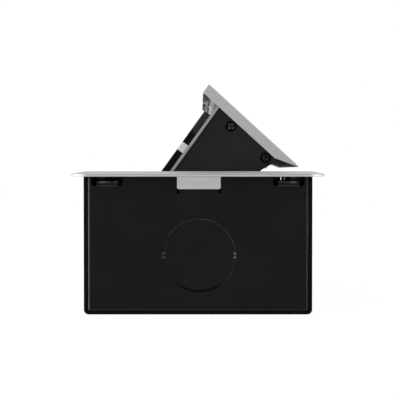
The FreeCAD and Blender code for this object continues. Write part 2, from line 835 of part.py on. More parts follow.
def side_plate():
    """The front side plate: it hangs under the lid and reaches round the frame's edge to the pivot."""
    y = -plate_out
    top_front = (face_point(face_sheet, face_seat)[0], lid_under)
    bevel_start = (lid_tail - lid_bevel, lid_under)
    nose = bevel_point(relief_radius)
    nose_angle = math.degrees(math.atan2(nose[1] - pivot_z, nose[0] - pivot_x))
    foot_angle = arm_angle + open_angle
    foot = polar(pivot_x, pivot_z, relief_radius, foot_angle)
    relief_middle = polar(pivot_x, pivot_z, relief_radius, (nose_angle + foot_angle) / 2)
    bottom = face_point(face_sheet, face_height)
    heel = (bottom[0] + plate_depth - plate_chamfer, bottom[1])
    back = (bottom[0] + plate_depth, bottom[1] + plate_chamfer)
    upper = tangent_angle(foot, arm_boss, -1)
    lower = tangent_angle(back, arm_boss, 1) - 360
    edges = [line(top_front, bevel_start, y), line(bevel_start, nose, y), arc(nose, relief_middle, foot, y),
             line(foot, polar(pivot_x, pivot_z, arm_boss, upper), y),
             arc(polar(pivot_x, pivot_z, arm_boss, upper),
                 polar(pivot_x, pivot_z, arm_boss, (upper + lower) / 2),
                 polar(pivot_x, pivot_z, arm_boss, lower), y),
             line(polar(pivot_x, pivot_z, arm_boss, lower), back, y), line(back, heel, y),
             line(heel, bottom, y), line(bottom, top_front, y)]
    plate = wire_prism(edges, -plate_out, -plate_in)
    plate = plate.cut(rod(ALONG_Y, V(pivot_x, 0, pivot_z), shaft_radius + slip, -plate_out, -plate_in))
    for x, z in plate_screw_places():
        plate = plate.cut(countersunk(V(x, 0, z), slip))
    return opened(plate)


def bevel_point(radius):
    """The (x, z) point of the shut lid's bevel at a distance from the pivot."""
    x = lid_tail - pivot_x
    z = pivot_drop - lid_tip
    slope = (lid_thickness - lid_tip) / lid_bevel
    a = 1 + slope ** 2
    b = x + z * slope
    c = x ** 2 + z ** 2 - radius ** 2
    back = (b + math.sqrt(b ** 2 - a * c)) / a
    return lid_tail - back, frame_top - lid_tip - back * slope


def countersunk(place, play):
    """A countersunk screw of the front side plate, head outwards, grown by play."""
    depth = plate_screw_head - plate_screw_shank
    head = Part.makeCone(plate_screw_head + play, plate_screw_shank + play, depth,
                         V(place.x, -plate_out, place.z), ALONG_Y)
    shank = rod(ALONG_Y, place, plate_screw_shank + play, -plate_out, -plate_out + plate_screw_length)
    return head.fuse(shank)


def side_plate_screws():
    """Four cross recessed screws through the side plates into the lid's lugs."""
    screws = []
    arm = plate_screw_shank
    slot = plate_screw_shank / 4
    for x, z in plate_screw_places():
        screw = countersunk(V(x, 0, z), 0)
        cross = block(x - arm, x + arm, -plate_out, -plate_out + arm, z - slot, z + slot)
        cross = cross.fuse(block(x - slot, x + slot, -plate_out, -plate_out + arm, z - arm, z + arm))
        screw = opened(screw.cut(cross))
        screws += [screw, across(screw)]
    return Part.makeCompound(screws)


def row_opening(play):
    """The space of the module row in the face, grown by play."""
    half = module_pitch / 2 + play
    return block(-module_depth, module_depth, row_start - play, -row_start + play, face_middle - half,
                 face_middle + half)


def face_plate():
    """The aluminium plate that carries the socket row."""
    plate = block(0, face_sheet, -lid_end, lid_end, -face_height, 0)
    return on_face(plate.cut(row_opening(module_play)))


def bezel():
    """The moulded bezel round the module row, notched at each end for a clip."""
    half = bezel_height / 2
    body = block(-bezel_thickness, 0, -bezel_end, bezel_end, face_middle - half, face_middle + half)
    body = body.makeFillet(bezel_edge, [e for e in body.Edges if e.BoundBox.XMax < -bezel_thickness + near])
    body = body.cut(row_opening(module_play))
    low = -clip_drop - clip_width / 2
    high = -clip_drop + clip_width / 2
    notch = block(-bezel_thickness, -clip_web, -bezel_end, row_start, low, high)
    notch = notch.fuse(block(-clip_web, 0, -bezel_end, -bezel_end + clip_leg + slip, low, high))
    return on_face(body.cut(notch).cut(across(notch)))


def bezel_clips():
    """The two bright clips that hold the bezel's ends."""
    low = -clip_drop - clip_width / 2 + slip
    high = -clip_drop + clip_width / 2 - slip
    clip = block(-bezel_thickness, -clip_web, -bezel_end, row_start - module_play - slip, low, high)
    front = [e for e in edges_along(clip, ALONG_Z) if e.CenterOfMass.x < -clip_web - slip]
    clip = clip.makeFillet(bezel_edge / 2, front)
    leg = block(-clip_web, 0, -bezel_end, -bezel_end + clip_leg, low, high)
    return on_face(pair(clip.fuse(leg).removeSplitter()))


def module_body(y0, y1):
    """The block of one module between two places along the row."""
    half = module_pitch / 2 - module_play
    return soft_block(module_front, module_depth, y0 + module_play, y1 - module_play, face_middle - half,
                      face_middle + half, bezel_edge, ALONG_X)


def socket_module(index):
    """A round, earthed socket outlet."""
    y = row_start + (index + 0.5) * module_pitch
    body = module_body(y - module_pitch / 2, y + module_pitch / 2)
    centre = V(0, y, face_middle)
    floor = module_front + cup_depth
    body = body.cut(rod(ALONG_X, centre, cup_radius, module_front, floor))
    mouth = Part.makeCone(cup_radius + cup_edge, cup_radius, cup_edge, V(module_front, y, face_middle),
                          ALONG_X)
    body = body.cut(mouth)
    for side in (-1, 1):
        pin = V(0, y + side * pin_spacing / 2, face_middle)
        body = body.cut(rod(ALONG_X, pin, pin_radius, floor, module_depth))
    return on_face(body)


def contact_sleeves():
    """The sprung sleeves that take the plug's pins."""
    sleeves = []
    for index in range(2):
        y = row_start + (index + 0.5) * module_pitch
        for side in (-1, 1):
            pin = V(0, y + side * pin_spacing / 2, face_middle)
            sleeves.append(on_face(ring(ALONG_X, pin, pin_radius - slip, pin_radius - sleeve_wall,
                                        module_front + cup_depth + sleeve_wall, module_depth)))
    return Part.makeCompound(sleeves)


def earth_clips():
    """The bowed earth springs at the top and bottom of each socket."""
    clips = []
    front = module_front + earth_clip_width
    floor = module_front + cup_depth
    bow = (front + floor) / 2
    wall = cup_radius - earth_clip_sheet / 2
    inner = wall - earth_clip_sheet
    outline = [(front, wall), (bow, wall - earth_clip_proud), (floor, wall),
               (floor, inner), (bow, inner - earth_clip_proud), (front, inner)]
    for index in range(2):
        y = row_start + (index + 0.5) * module_pitch
        for side in (-1, 1):
            points = [(x, face_middle + side * z) for x, z in outline]
            clips.append(on_face(prism_xz(points, y - earth_clip_width / 2, y + earth_clip_width / 2)))
    return Part.makeCompound(clips)


def usb_module():
    """A charger insert with two upright ports, each with its tongue."""
    y = row_start + 2 * module_pitch
    body = module_body(y, y + half_pitch)
    middle = y + half_pitch / 2
    for side in (-1, 1):
        z = face_middle + side * usb_spacing / 2
        port = block(module_front, module_front + port_depth, middle - usb_width / 2, middle + usb_width / 2,
                     z - usb_height / 2, z + usb_height / 2)
        tongue = block(module_front + bezel_edge, module_front + port_depth, middle + usb_width / 10,
                       middle + usb_width * 0.4, z - usb_height * 0.42, z + usb_height * 0.42)
        body = body.cut(port.cut(tongue))
    return on_face(body)


def data_module():
    """A data insert with two jacks."""
    y = row_start + 2 * module_pitch + half_pitch
    body = module_body(y, -row_start)
    middle = (y - row_start) / 2
    for side in (-1, 1):
        z = face_middle + side * jack_spacing / 2
        jack = block(module_front, module_front + port_depth, middle - jack_width / 2,
                     middle + jack_width / 2, z - jack_height / 2, z + jack_height / 2 - jack_key_height)
        key = block(module_front, module_front + port_depth, middle - jack_key_width / 2,
                    middle + jack_key_width / 2, z - jack_height / 2, z + jack_height / 2)
        body = body.cut(jack.fuse(key))
    return on_face(body)


def pivot_shaft():
    """The hinge shaft, grooved for its clips."""
    centre = V(pivot_x, 0, pivot_z)
    shaft = rod(ALONG_Y, centre, shaft_radius, -shaft_end, shaft_end)
    groove = ring(ALONG_Y, centre, shaft_radius, shaft_radius - clip_groove, -clip_in - clip_thickness,
                  -clip_in)
    return shaft.cut(groove).cut(across(groove))


def shaft_clips():
    """The snap rings in the shaft's grooves."""
    return pair(ring(ALONG_Y, V(pivot_x, 0, pivot_z), shaft_radius + clip_rim, shaft_radius - clip_groove,
                     -clip_in - clip_thickness, -clip_in))


def shaft_spacer():
    """The front spacer, as wide as the gear sector at the other end."""
    return ring(ALONG_Y, V(pivot_x, 0, pivot_z), sector_hub, shaft_radius + slip, -gear_out, -plate_out)


def tooth(cx, cz, teeth, degrees, y0, y1):
    """One involute tooth of a gear about a centre, pointing at an angle."""
    pitch = gear_module * teeth / 2
    base = pitch * math.cos(math.radians(pressure_angle))
    root = pitch - dedendum * gear_module
    tip = pitch + addendum * gear_module
    involute = math.tan(math.radians(pressure_angle)) - math.radians(pressure_angle)

    def half_width(radius):
        at = math.acos(min(1.0, base / radius))
        width = math.pi / (2 * teeth) + involute - (math.tan(at) - at) - backlash / (2 * pitch)
        return math.degrees(width)

    low = max(root, base)
    middle = (low + tip) / 2

    def flank(radius, side):
        return polar(cx, cz, radius, degrees + side * half_width(max(radius, base)))

    foot = root - dedendum * gear_module / 3
    edges = [line(flank(foot, -1), flank(low, -1), y0),
             arc(flank(low, -1), flank(middle, -1), flank(tip, -1), y0),
             arc(flank(tip, -1), polar(cx, cz, tip, degrees), flank(tip, 1), y0),
             arc(flank(tip, 1), flank(middle, 1), flank(low, 1), y0),
             line(flank(low, 1), flank(foot, 1), y0),
             line(flank(foot, 1), flank(foot, -1), y0)]
    return wire_prism(edges, y0, y1)


def gear_sector():
    """The toothed sector on the rear side plate."""
    pitch = 360.0 / sector_teeth
    root = sector_radius - dedendum * gear_module
    start = mesh_angle - (teeth_before + 0.5) * pitch
    end = mesh_angle + (teeth_after + 0.5) * pitch
    hub = (pivot_x, pivot_z)
    first = polar(pivot_x, pivot_z, root, start)
    last = polar(pivot_x, pivot_z, root, end)
    rim = arc(first, polar(pivot_x, pivot_z, root, (start + end) / 2), last, plate_out)
    web = wire_prism([line(hub, first, plate_out), rim, line(last, hub, plate_out)], plate_out, gear_out)
    web = web.fuse(rod(ALONG_Y, V(pivot_x, 0, pivot_z), sector_hub, plate_out, gear_out))
    teeth = [tooth(pivot_x, pivot_z, sector_teeth, mesh_angle + i * pitch, plate_out, gear_out)
             for i in range(-teeth_before, teeth_after + 1)]
    web = web.fuse(teeth)
    web = web.cut(rod(ALONG_Y, V(pivot_x, 0, pivot_z), shaft_radius + slip, plate_out, gear_out))
    for place in sector_rivet_places():
        web = web.cut(rod(ALONG_Y, place, sector_rivet + slip, plate_out, gear_out))
    return web.removeSplitter()


def sector_rivet_places():
    """The middles of the rivets through the sector and the rear side plate."""
    angle = mesh_angle - teeth_before * 360.0 / sector_teeth + sector_rivet * 6
    radii = (sector_radius / 2, sector_radius * 0.8)
    spots = [polar(pivot_x, pivot_z, radius, angle) for radius in radii]
    return [V(x, 0, z) for x, z in spots]


def sector_rivets():
    """The rivets of the gear sector, flush on both sides."""
    return Part.makeCompound([rod(ALONG_Y, place, sector_rivet, plate_in, gear_out)
                              for place in sector_rivet_places()])


def rear_side_plate():
    """The other side plate, drilled for the sector's rivets."""
    plate = across(side_plate())
    for place in sector_rivet_places():
        plate = plate.cut(rod(ALONG_Y, place, sector_rivet + slip, plate_in, plate_out))
    return plate


def damper_pinion():
    """The damper's pinion on its stub, in mesh with the sector."""
    pitch = 360.0 / pinion_teeth
    y0 = plate_out + pinion_play
    y1 = gear_out - pinion_play / 2
    centre = V(pinion_x, 0, pinion_z)
    gear = rod(ALONG_Y, centre, pinion_radius - dedendum * gear_module, y0, y1)
    teeth = [tooth(pinion_x, pinion_z, pinion_teeth, mesh_angle + 180 + (i + 0.5) * pitch, y0, y1)
             for i in range(pinion_teeth)]
    stub = rod(ALONG_Y, centre, pinion_shaft, y1, pinion_shaft_end())
    return gear.fuse(teeth + [stub]).removeSplitter()


def striker_front():
    """The x of the striker's front edge, just behind the lid's leaning free edge."""
    return lid_free + lid_thickness * math.tan(lean) + striker_inset


def striker():
    """The steel plate let into the underside of the lid's lip, over which the bolt's tongue slides."""
    half = striker_width / 2 - slip
    plate = block(striker_front(), striker_front() + striker_depth - slip, -half, half, lid_under,
                  lid_under + striker_sheet - slip)
    return opened(plate)


def tongue_pocket():
    """The space in the lid's lip for the tongue, with the rebate for the striker."""
    half = striker_width / 2
    left = lid_free - lid_gap
    right = bolt_tip + bolt_travel + pocket_play
    space = block(left, right, -half, half, lid_under, tongue_top + striker_gap)
    rebate = block(left, striker_front() + striker_depth, -half, half, lid_under, lid_under + striker_sheet)
    return space.fuse(rebate)


# Latch, released, and spring

def cam(z0, z1, play):
    """The slanting blade between the button and the bolt, grown by play."""
    half = cam_length / 2 + play
    middle = (bolt_top + bolt_under) / 2
    outline = [(button_x - (z - middle) + side * half, z) for z, side in
               ((z0, -1), (z0, 1), (z1, 1), (z1, -1))]
    width = cam_width / 2 + play
    return prism_xz(outline, -width, width)


def latch_bolt():
    """The sliding bolt, turned up into a sloped tongue and slotted for the button's blade."""
    half = bolt_width / 2
    outline = [(bolt_back, bolt_under), (upright_front - bolt_heel, bolt_under),
               (upright_front, bolt_under + bolt_heel), (upright_front, tongue_under),
               (bolt_tip, tongue_under), (bolt_tip, tongue_top - bolt_nose),
               (bolt_tip - bolt_nose, tongue_top),
               (upright_back, tongue_top), (upright_back, bolt_top), (bolt_back, bolt_top)]
    return prism_xz(outline, -half, half).cut(cam(bolt_under, bolt_top, side_play))


def release_button():
    """The push button in the frame, dished for a fingertip, with its blade."""
    half_x = button_width / 2
    half_y = button_length / 2
    body = soft_block(button_x - half_x, button_x + half_x, -half_y, half_y, button_under, button_top,
                      button_corner)
    dish_radius = (half_x ** 2 + button_dish ** 2) / (2 * button_dish)
    dish = rod(ALONG_Y, V(button_x, 0, button_top - button_dish + dish_radius), dish_radius,
               -half_y + button_corner, half_y - button_corner)
    return body.cut(dish).fuse(cam(bolt_under + side_play, button_under, 0)).removeSplitter()


def spiral_spring():
    """The flat strip that throws the lid open, wound round the shaft in half turns, the tail outside."""
    inner = shaft_radius + slip + spring_strip / 2
    outer = spring_outer - spring_strip / 2
    step = (outer - inner) / (spring_half_turns - 1)

    def side(offset):
        edges = []
        for i in range(spring_half_turns):
            radius = inner + i * step + offset
            centre = pivot_x - step * (i % 2)
            way = -1 if i % 2 else 1
            edges.append(arc((centre - way * radius, pivot_z), (centre, pivot_z + way * radius),
                             (centre + way * radius, pivot_z), spring_start))
        return edges

    half = spring_strip / 2
    tail_low = pivot_z - spring_tail
    tail_out = pivot_x + spring_outer
    tail_in = tail_out - spring_strip
    ends = [line((pivot_x - inner - half, pivot_z), (pivot_x - inner + half, pivot_z), spring_start),
            line((tail_out, pivot_z), (tail_out, tail_low), spring_start),
            line((tail_out, tail_low), (tail_in, tail_low), spring_start),
            line((tail_in, tail_low), (tail_in, pivot_z), spring_start)]
    return wire_prism(side(half) + side(-half) + ends, spring_start, spring_end)


NODES = {
    "box_shell": box_shell,
    "end_wall_front": end_wall,
    "end_wall_rear": rear_end_wall,
    "top_frame": top_frame,
    "frame_screws": frame_screws,
    "hinge_bracket_front": hinge_bracket,
    "hinge_bracket_rear": lambda: across(hinge_bracket()),
    "hinge_bushes": hinge_bushes,
    "bracket_rivets": bracket_rivets,
    "spring_anchor": spring_anchor,
    "damper_body": damper_body,
    "damper_screws": damper_screws,
    "latch_case": latch_case,
    "latch_screws": latch_screws,
    "bolt_spring": bolt_spring,
    "open_stop_pads": open_stop_pads,
    "closing_buffers": closing_buffers,
    "terminal_block": terminal_block,
    "earth_stud": earth_stud,
    "lid": lid,
    "lip_grips": lip_grips,
    "side_plate_front": side_plate,
    "side_plate_rear": rear_side_plate,
    "side_plate_screws": side_plate_screws,
    "face_plate": face_plate,
    "bezel": bezel,
    "bezel_clips": bezel_clips,
    "socket_module_front": lambda: socket_module(0),
    "socket_module_middle": lambda: socket_module(1),
    "contact_sleeves": contact_sleeves,
    "earth_clips": earth_clips,
    "usb_module": usb_module,
    "data_module": data_module,
    "pivot_shaft": pivot_shaft,
    "shaft_clips": shaft_clips,
    "shaft_spacer": shaft_spacer,
    "gear_sector": gear_sector,
    "sector_rivets": sector_rivets,
    "striker": striker,
    "damper_pinion": damper_pinion,
    "latch_bolt": latch_bolt,
    "release_button": release_button,
    "spiral_spring": spiral_spring,
}


def main():
    os.makedirs("parts", exist_ok=True)
    for name, make in NODES.items():
        make().exportStep("parts/" + name + ".step")


main()
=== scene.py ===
"""Dresses the pop-up socket unit: a finish for every piece, small contacts and screws, and a white studio."""
import json
import math

import bpy
from bpy.props import FloatProperty, FloatVectorProperty, PointerProperty
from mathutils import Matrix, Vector


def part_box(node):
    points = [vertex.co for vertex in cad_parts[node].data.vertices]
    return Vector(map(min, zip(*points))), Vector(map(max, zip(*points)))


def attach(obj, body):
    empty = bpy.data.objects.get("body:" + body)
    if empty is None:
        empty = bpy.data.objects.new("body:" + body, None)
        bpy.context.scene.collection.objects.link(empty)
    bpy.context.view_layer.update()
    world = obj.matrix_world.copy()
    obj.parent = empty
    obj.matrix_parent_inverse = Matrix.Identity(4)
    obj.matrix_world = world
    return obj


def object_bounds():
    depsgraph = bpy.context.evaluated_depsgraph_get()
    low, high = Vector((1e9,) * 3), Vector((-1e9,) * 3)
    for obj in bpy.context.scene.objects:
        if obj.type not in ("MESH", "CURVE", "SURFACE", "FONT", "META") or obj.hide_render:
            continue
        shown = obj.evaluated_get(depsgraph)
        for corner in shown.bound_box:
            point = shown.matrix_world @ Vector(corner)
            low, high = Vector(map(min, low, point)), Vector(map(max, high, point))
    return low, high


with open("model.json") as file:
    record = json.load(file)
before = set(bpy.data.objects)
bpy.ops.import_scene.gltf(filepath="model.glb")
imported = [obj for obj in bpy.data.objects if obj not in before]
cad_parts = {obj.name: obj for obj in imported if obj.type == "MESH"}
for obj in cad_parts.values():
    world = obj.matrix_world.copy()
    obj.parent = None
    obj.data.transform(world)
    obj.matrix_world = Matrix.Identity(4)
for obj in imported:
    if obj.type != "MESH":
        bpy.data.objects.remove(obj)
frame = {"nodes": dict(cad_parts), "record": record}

bl_info = {
    "name": "Pop-up socket unit",
    "version": (1, 0, 0),
    "blender": (4, 5, 0),
    "location": "View3D > Sidebar > Socket unit",
    "description": "Finishes and small parts of a flip-up worktop socket unit",
    "category": "Object",
}

CAD_LOW, CAD_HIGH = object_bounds()
NODES = frame["nodes"]
RECORD = frame["record"]
SLOTS = {part["node"]: part["material_slot"] for part in RECORD["subparts"]}
MM = 0.001
WHITE = (1.0, 1.0, 1.0)
FRAME_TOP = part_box("top_frame")[1][2]

# Bands of an end wall with painted highlights or painted shade, as from, to and the width over which they
# fade.
FOLD_IN = (0.4 * MM, 0.85 * MM, 0.25 * MM)
LUG_OUT = (38.4 * MM, 48.4 * MM, 0.6 * MM)
LUG_GLINT = (45.0 * MM, 47.2 * MM, 0.5 * MM)
LUG_FOOT = (4.8 * MM, 5.05 * MM, 0.2 * MM)
LUG_CREASE = (3.0 * MM, 3.5 * MM, 0.3 * MM)
SCORE_RING = (0.55 * MM, 0.75 * MM, 0.18 * MM)
SCORE_SHADE = (-0.1 * MM, 0.9 * MM, 0.3 * MM)
NIB_OUT = (-0.1 * MM, 0.8 * MM, 0.4 * MM)
NIB_RISE = (0.8 * MM, 1.3 * MM, 0.4 * MM)
FLOOR_FULL, FLOOR_END = 0.6 * MM, 1.1 * MM
RING_START, RING_FULL, RING_LEAN = -12.0 * MM, 4.0 * MM, 0.6
SHADE_FULL, SHADE_END = -0.95, -0.7

# How strong the painted highlights are at the floor, at a lug's foot, and along its crease, at least and in
# patches.
FLOOR_HIGHLIGHT, FOOT_HIGHLIGHT, CREASE_HIGHLIGHT, CREASE_GLINTS = 0.22, 0.4, 0.2, 0.6

# The frame's painted light and shade: a painted shade line under its bevel, painted light at its tabs' roots
# and painted glints round its corners; where they start, in from its edges and top, and how light each of
# them is.
BEVEL_LINE = (1.45 * MM, 1.75 * MM, 0.15 * MM)
TAB_START, TAB_ROOT, TAB_END = 2.3 * MM, 2.7 * MM, 6.0 * MM
CORNER_TIP, CORNER_FULL, CORNER_END = 1.0 * MM, 4.0 * MM, 8.0 * MM
CORNER_TOP, CORNER_UNDER = 1.1 * MM, 1.7 * MM
LINE_TONE, TAB_TONE, CORNER_TONE = 0.6, 1.32, 1.87

# Shares of a grip strip's width left dark, as painted shade, without painted light: at the front end, lost by
# the striker, and back behind it.
GRIP_DARK, GRIP_LOSS, GRIP_BACK, GRIP_SOFT = 0.95, 0.85, 0.4, 0.2

# A side plate screw's recess with painted glints, how bright they are on the upper and the lower screw, and
# on the head round it.
RECESS_FULL, RECESS_END = 1.5 * MM, 2.0 * MM
RECESS_SHINES, HEAD_SHINE = (1.0, 0.4), 0.03
GLINT_STEEL = (0.85, 0.85, 0.86)


# Shader maths

class Value:
    """A number that varies over a surface, so that maths on it reads as maths."""

    def __init__(self, finish, socket):
        self.finish = finish
        self.socket = socket

    def _math(self, operation, first, second=None):
        inputs = {0: first} if second is None else {0: first, 1: second}
        return self.finish.value("ShaderNodeMath", {"operation": operation}, inputs)

    def __add__(self, other):
        return self._math("ADD", self, other)

    __radd__ = __add__

    def __sub__(self, other):
        return self._math("SUBTRACT", self, other)

    def __rsub__(self, other):
        return self._math("SUBTRACT", other, self)

    def __mul__(self, other):
        return self._math("MULTIPLY", self, other)

    __rmul__ = __mul__

    def absolute(self):
        return self._math("ABSOLUTE", self)

    def squared(self):
        return self._math("MULTIPLY", self, self)

    def root(self):
        return self._math("SQRT", self)

    def most(self, other):
        """The larger of the two."""
        return self._math("MAXIMUM", self, other)

    def between(self, low, high):
        """Rises smoothly from 0 at low to 1 at high."""
        inputs = {"Value": self, "From Min": low, "From Max": high}
        return self.finish.value("ShaderNodeMapRange", {"interpolation_type": "SMOOTHSTEP"}, inputs, "Result")


class Graph:
    """A node tree under construction."""

    def __init__(self, tree):
        self.tree = tree

    def node(self, kind, settings=None, inputs=None):
        """A node of any type: its settings first, then the values or links of its sockets."""
        made = self.tree.nodes.new(kind)
        for key, setting in (settings or {}).items():
            setattr(made, key, setting)
        for key, given in (inputs or {}).items():
            self.feed(made.inputs[key], given)
        return made

    def grow(self, kind, inputs, settings=None):
        """The first output of a Geometry Nodes node, which is its mesh, its instances or its geometry."""
        return self.node("GeometryNode" + kind, settings, inputs).outputs[0]

    def line(self, count, step, start=(0.0, 0.0, 0.0)):
        """Points for a row: how many, from one to the next, and the first."""
        return self.grow("MeshLine", {"Count": count, "Start Location": start, "Offset": step})

    def feed(self, socket, given):
        """Links a socket to a Value or another socket, or sets it."""
        if isinstance(given, Value):
            self.tree.links.new(given.socket, socket)
        elif isinstance(given, bpy.types.NodeSocket):
            self.tree.links.new(given, socket)
        else:
            socket.default_value = given


class Finish(Graph):
    """A procedural material under construction, on the piece's own Object coordinates."""

    bevel_samples = 6
    edge_faint, edge_full = 0.02, 0.25
    # The colour sockets of a Mix node, which shares their names among its kinds of value.
    mix_first, mix_second, mix_result = 6, 7, 2

    def __init__(self, name):
        self.material = bpy.data.materials.new(name)
        self.material.use_nodes = True
        super().__init__(self.material.node_tree)
        self.tree.nodes.clear()
        self.place = self.node("ShaderNodeTexCoord").outputs["Object"]

    def value(self, kind, settings=None, inputs=None, output=0):
        return Value(self, self.node(kind, settings, inputs).outputs[output])

    def stretched(self, scale, turn=(0.0, 0.0, 0.0)):
        """Object coordinates turned, then scaled, per metre."""
        mapping = self.node("ShaderNodeMapping", {"vector_type": "POINT"},
                            {"Vector": self.place, "Rotation": turn})
        scaled = self.node("ShaderNodeVectorMath", {"operation": "MULTIPLY"},
                           {0: mapping.outputs["Vector"], 1: scale})
        return scaled.outputs["Vector"]

    def axes(self):
        """The three Object coordinates as Values."""
        split = self.node("ShaderNodeSeparateXYZ", {}, {"Vector": self.place})
        return [Value(self, socket) for socket in split.outputs]

    def dot(self, first, second):
        """The dot product of two vectors."""
        settings = {"operation": "DOT_PRODUCT"}
        return self.value("ShaderNodeVectorMath", settings, {0: first, 1: second}, "Value")

    def noise(self, size, detail=2.0, rough=0.5, scale=(1.0, 1.0, 1.0), turn=(0.0, 0.0, 0.0)):
        """Noise whose features are about size metres, longer along an axis with a scale under 1."""
        return self.value("ShaderNodeTexNoise", {},
                          {"Vector": self.stretched(scale, turn), "Scale": 1.0 / size, "Detail": detail,
                           "Roughness": rough}, "Fac")

    def mix(self, factor, first, second):
        """A colour between two colours."""
        node = self.node("ShaderNodeMix", {"data_type": "RGBA"})
        self.feed(node.inputs["Factor"], factor)
        self.feed(node.inputs[self.mix_first], first)
        self.feed(node.inputs[self.mix_second], second)
        return node.outputs[self.mix_result]

    def bump(self, height, depth, strength=1.0, under=None):
        """A normal from a height between 0 and 1 that stands depth metres tall."""
        inputs = {"Height": height, "Distance": depth, "Strength": strength}
        if under is not None:
            inputs["Normal"] = under
        return self.node("ShaderNodeBump", {}, inputs).outputs["Normal"]

    def rounded(self, radius):
        """A normal that rounds sharp edges off by radius."""
        bevel = self.node("ShaderNodeBevel", {"samples": self.bevel_samples}, {"Radius": radius})
        return bevel.outputs["Normal"]

    def edge(self, radius):
        """About 1 along convex edges and 0 on flats, for wear and for painted edge highlights."""
        flat = self.node("ShaderNodeNewGeometry").outputs["Normal"]
        turned = 1 - self.dot(self.rounded(radius), flat)
        return turned.between(self.edge_faint, self.edge_full)

    def done(self, **sockets):
        """Closes the material with a Principled shader whose sockets are given by name."""
        shader = self.node("ShaderNodeBsdfPrincipled", {}, {name.replace("_", " "): given
                                                            for name, given in sockets.items()})
        self.node("ShaderNodeOutputMaterial", {}, {"Surface": shader.outputs["BSDF"]})
        return self.material


def rgb(colour):
    """A colour property as a socket's four numbers."""
    return (colour[0], colour[1], colour[2], 1.0)


def tinted(colour, times):
    """A colour with its red, green and blue each multiplied."""
    return tuple(min(1.0, part * factor) for part, factor in zip(colour, times)) + (1.0,)


def paler(colour, times):
    """The same colour, lighter or darker."""
    return tinted(colour, (times,) * 3)


def at_least(least, share):
    """A share raised so that it goes from least to 1."""
    return least + (1 - least) * share


def band(value, low, high, soft):
    """About 1 between low and high, fading to 0 over soft on both sides."""
    return value.between(low - soft, low) * (1 - value.between(high, high + soft))


# Finishes

def powder_coat(name, colour, shine, wear, peel_depth=0.022 * MM, painted_light_and_shade=None):
    """Satin powder coat on sheet steel: orange peel, fine grain, grey wear along edges, and painted
    highlights and painted shade where a given mask says.
    """
    f = Finish(name)
    thin, thick, wear_and_glint, painted_highlight, painted_shade = (paler(colour, times) for times in (0.74, 1.36, 12.0, 22.0, 0.0))
    cloud = f.noise(24 * MM, 3.0)
    peel = f.noise(0.9 * MM, 2.0)
    fleck = f.noise(0.5 * MM, 2.0, 0.6)
    grain = f.noise(0.16 * MM, 1.0)
    patches = f.noise(3 * MM, 3.0).between(0.4, 0.62)
    base = f.mix(cloud.between(0.35, 0.7) * 0.6 + fleck.between(0.3, 0.7) * 0.4, thin, thick)
    base = f.mix(f.edge(0.35 * MM) * at_least(0.5, patches) * wear, base, wear_and_glint)
    # A given mask adds painted highlights in a pale grey and painted shade in black.
    if painted_light_and_shade:
        grey, dark = painted_light_and_shade(f, patches)
        base = f.mix(dark, f.mix(grey, base, painted_highlight), painted_shade)
    roughness = 0.36 + 0.10 * cloud + 0.06 * grain
    normal = f.bump(peel * 0.8 + grain * 0.2, peel_depth, 0.6, f.rounded(0.22 * MM))
    return f.done(Base_Color=base, Roughness=roughness, Specular_IOR_Level=shine, Normal=normal)


def fold_rub(f, patches):
    """Painted highlights on an end wall's folds: the uprights, most on the left, and faintly at the floor."""
    low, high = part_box("end_wall_front")
    across, _, up = f.axes()
    upright = band(high[0] - across.absolute(), *FOLD_IN) * at_least(0.5, 1 - across.between(0.0, MM))
    floor = 1 - (up - low[2]).between(FLOOR_FULL, FLOOR_END)
    return (upright * at_least(0.8, patches)).most(floor * FLOOR_HIGHLIGHT)


def lug_rub(f, patches):
    """Painted highlights on the lugs in an end wall's windows: at the foot, and along the crease, full at a
    painted glint.
    """
    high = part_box("end_wall_front")[1]
    across, _, up = f.axes()
    side = across.absolute()
    foot = band(high[2] - up, *LUG_FOOT) * FOOT_HIGHLIGHT
    # Painted glints along the crease, in patches and full over one stretch.
    wear_and_glint = (CREASE_HIGHLIGHT + CREASE_GLINTS * patches).most(band(side, *LUG_GLINT))
    crease = band(high[2] - up, *LUG_CREASE) * wear_and_glint
    return band(side, *LUG_OUT) * foot.most(crease)


def knockout_of(wall, mount):
    """The middle of a knockout, and the radius of the disc inside its score."""
    centre = next(entry["pos_m"] for entry in RECORD["mounts"] if entry["name"] == mount)
    return centre, min(math.hypot(vertex.co.x - centre[0], vertex.co.z - centre[2])
                       for vertex in NODES[wall].data.vertices)


def knockout_rub(f, patches):
    """Painted highlights on a knockout's nibs and its score's upper right, and painted shade low in the
    score.
    """
    centre, radius = knockout_of("end_wall_front", "cable_knockout_front")
    across, _, up = f.axes()
    beside = across - centre[0]
    above = up - centre[2]
    out = (beside.squared() + above.squared()).root() - radius
    upper_right = (above + beside * RING_LEAN).between(RING_START, RING_FULL)
    ring = band(out, *SCORE_RING) * upper_right * at_least(0.75, patches)
    nibs = band(out, *NIB_OUT) * band(above.absolute(), *NIB_RISE) * at_least(0.5, beside.between(0.0, MM))
    # Painted shade in the lower part of the score.
    painted_shade = band(out, *SCORE_SHADE) * (1 - above.between(SHADE_FULL * radius, SHADE_END * radius))
    return ring.most(nibs), painted_shade


def end_wall_rub(f, patches):
    """Where an end wall gets painted highlights, and where it gets painted shade."""
    knockout, painted_shade = knockout_rub(f, patches)
    return fold_rub(f, patches).most(lug_rub(f, patches)).most(knockout), painted_shade


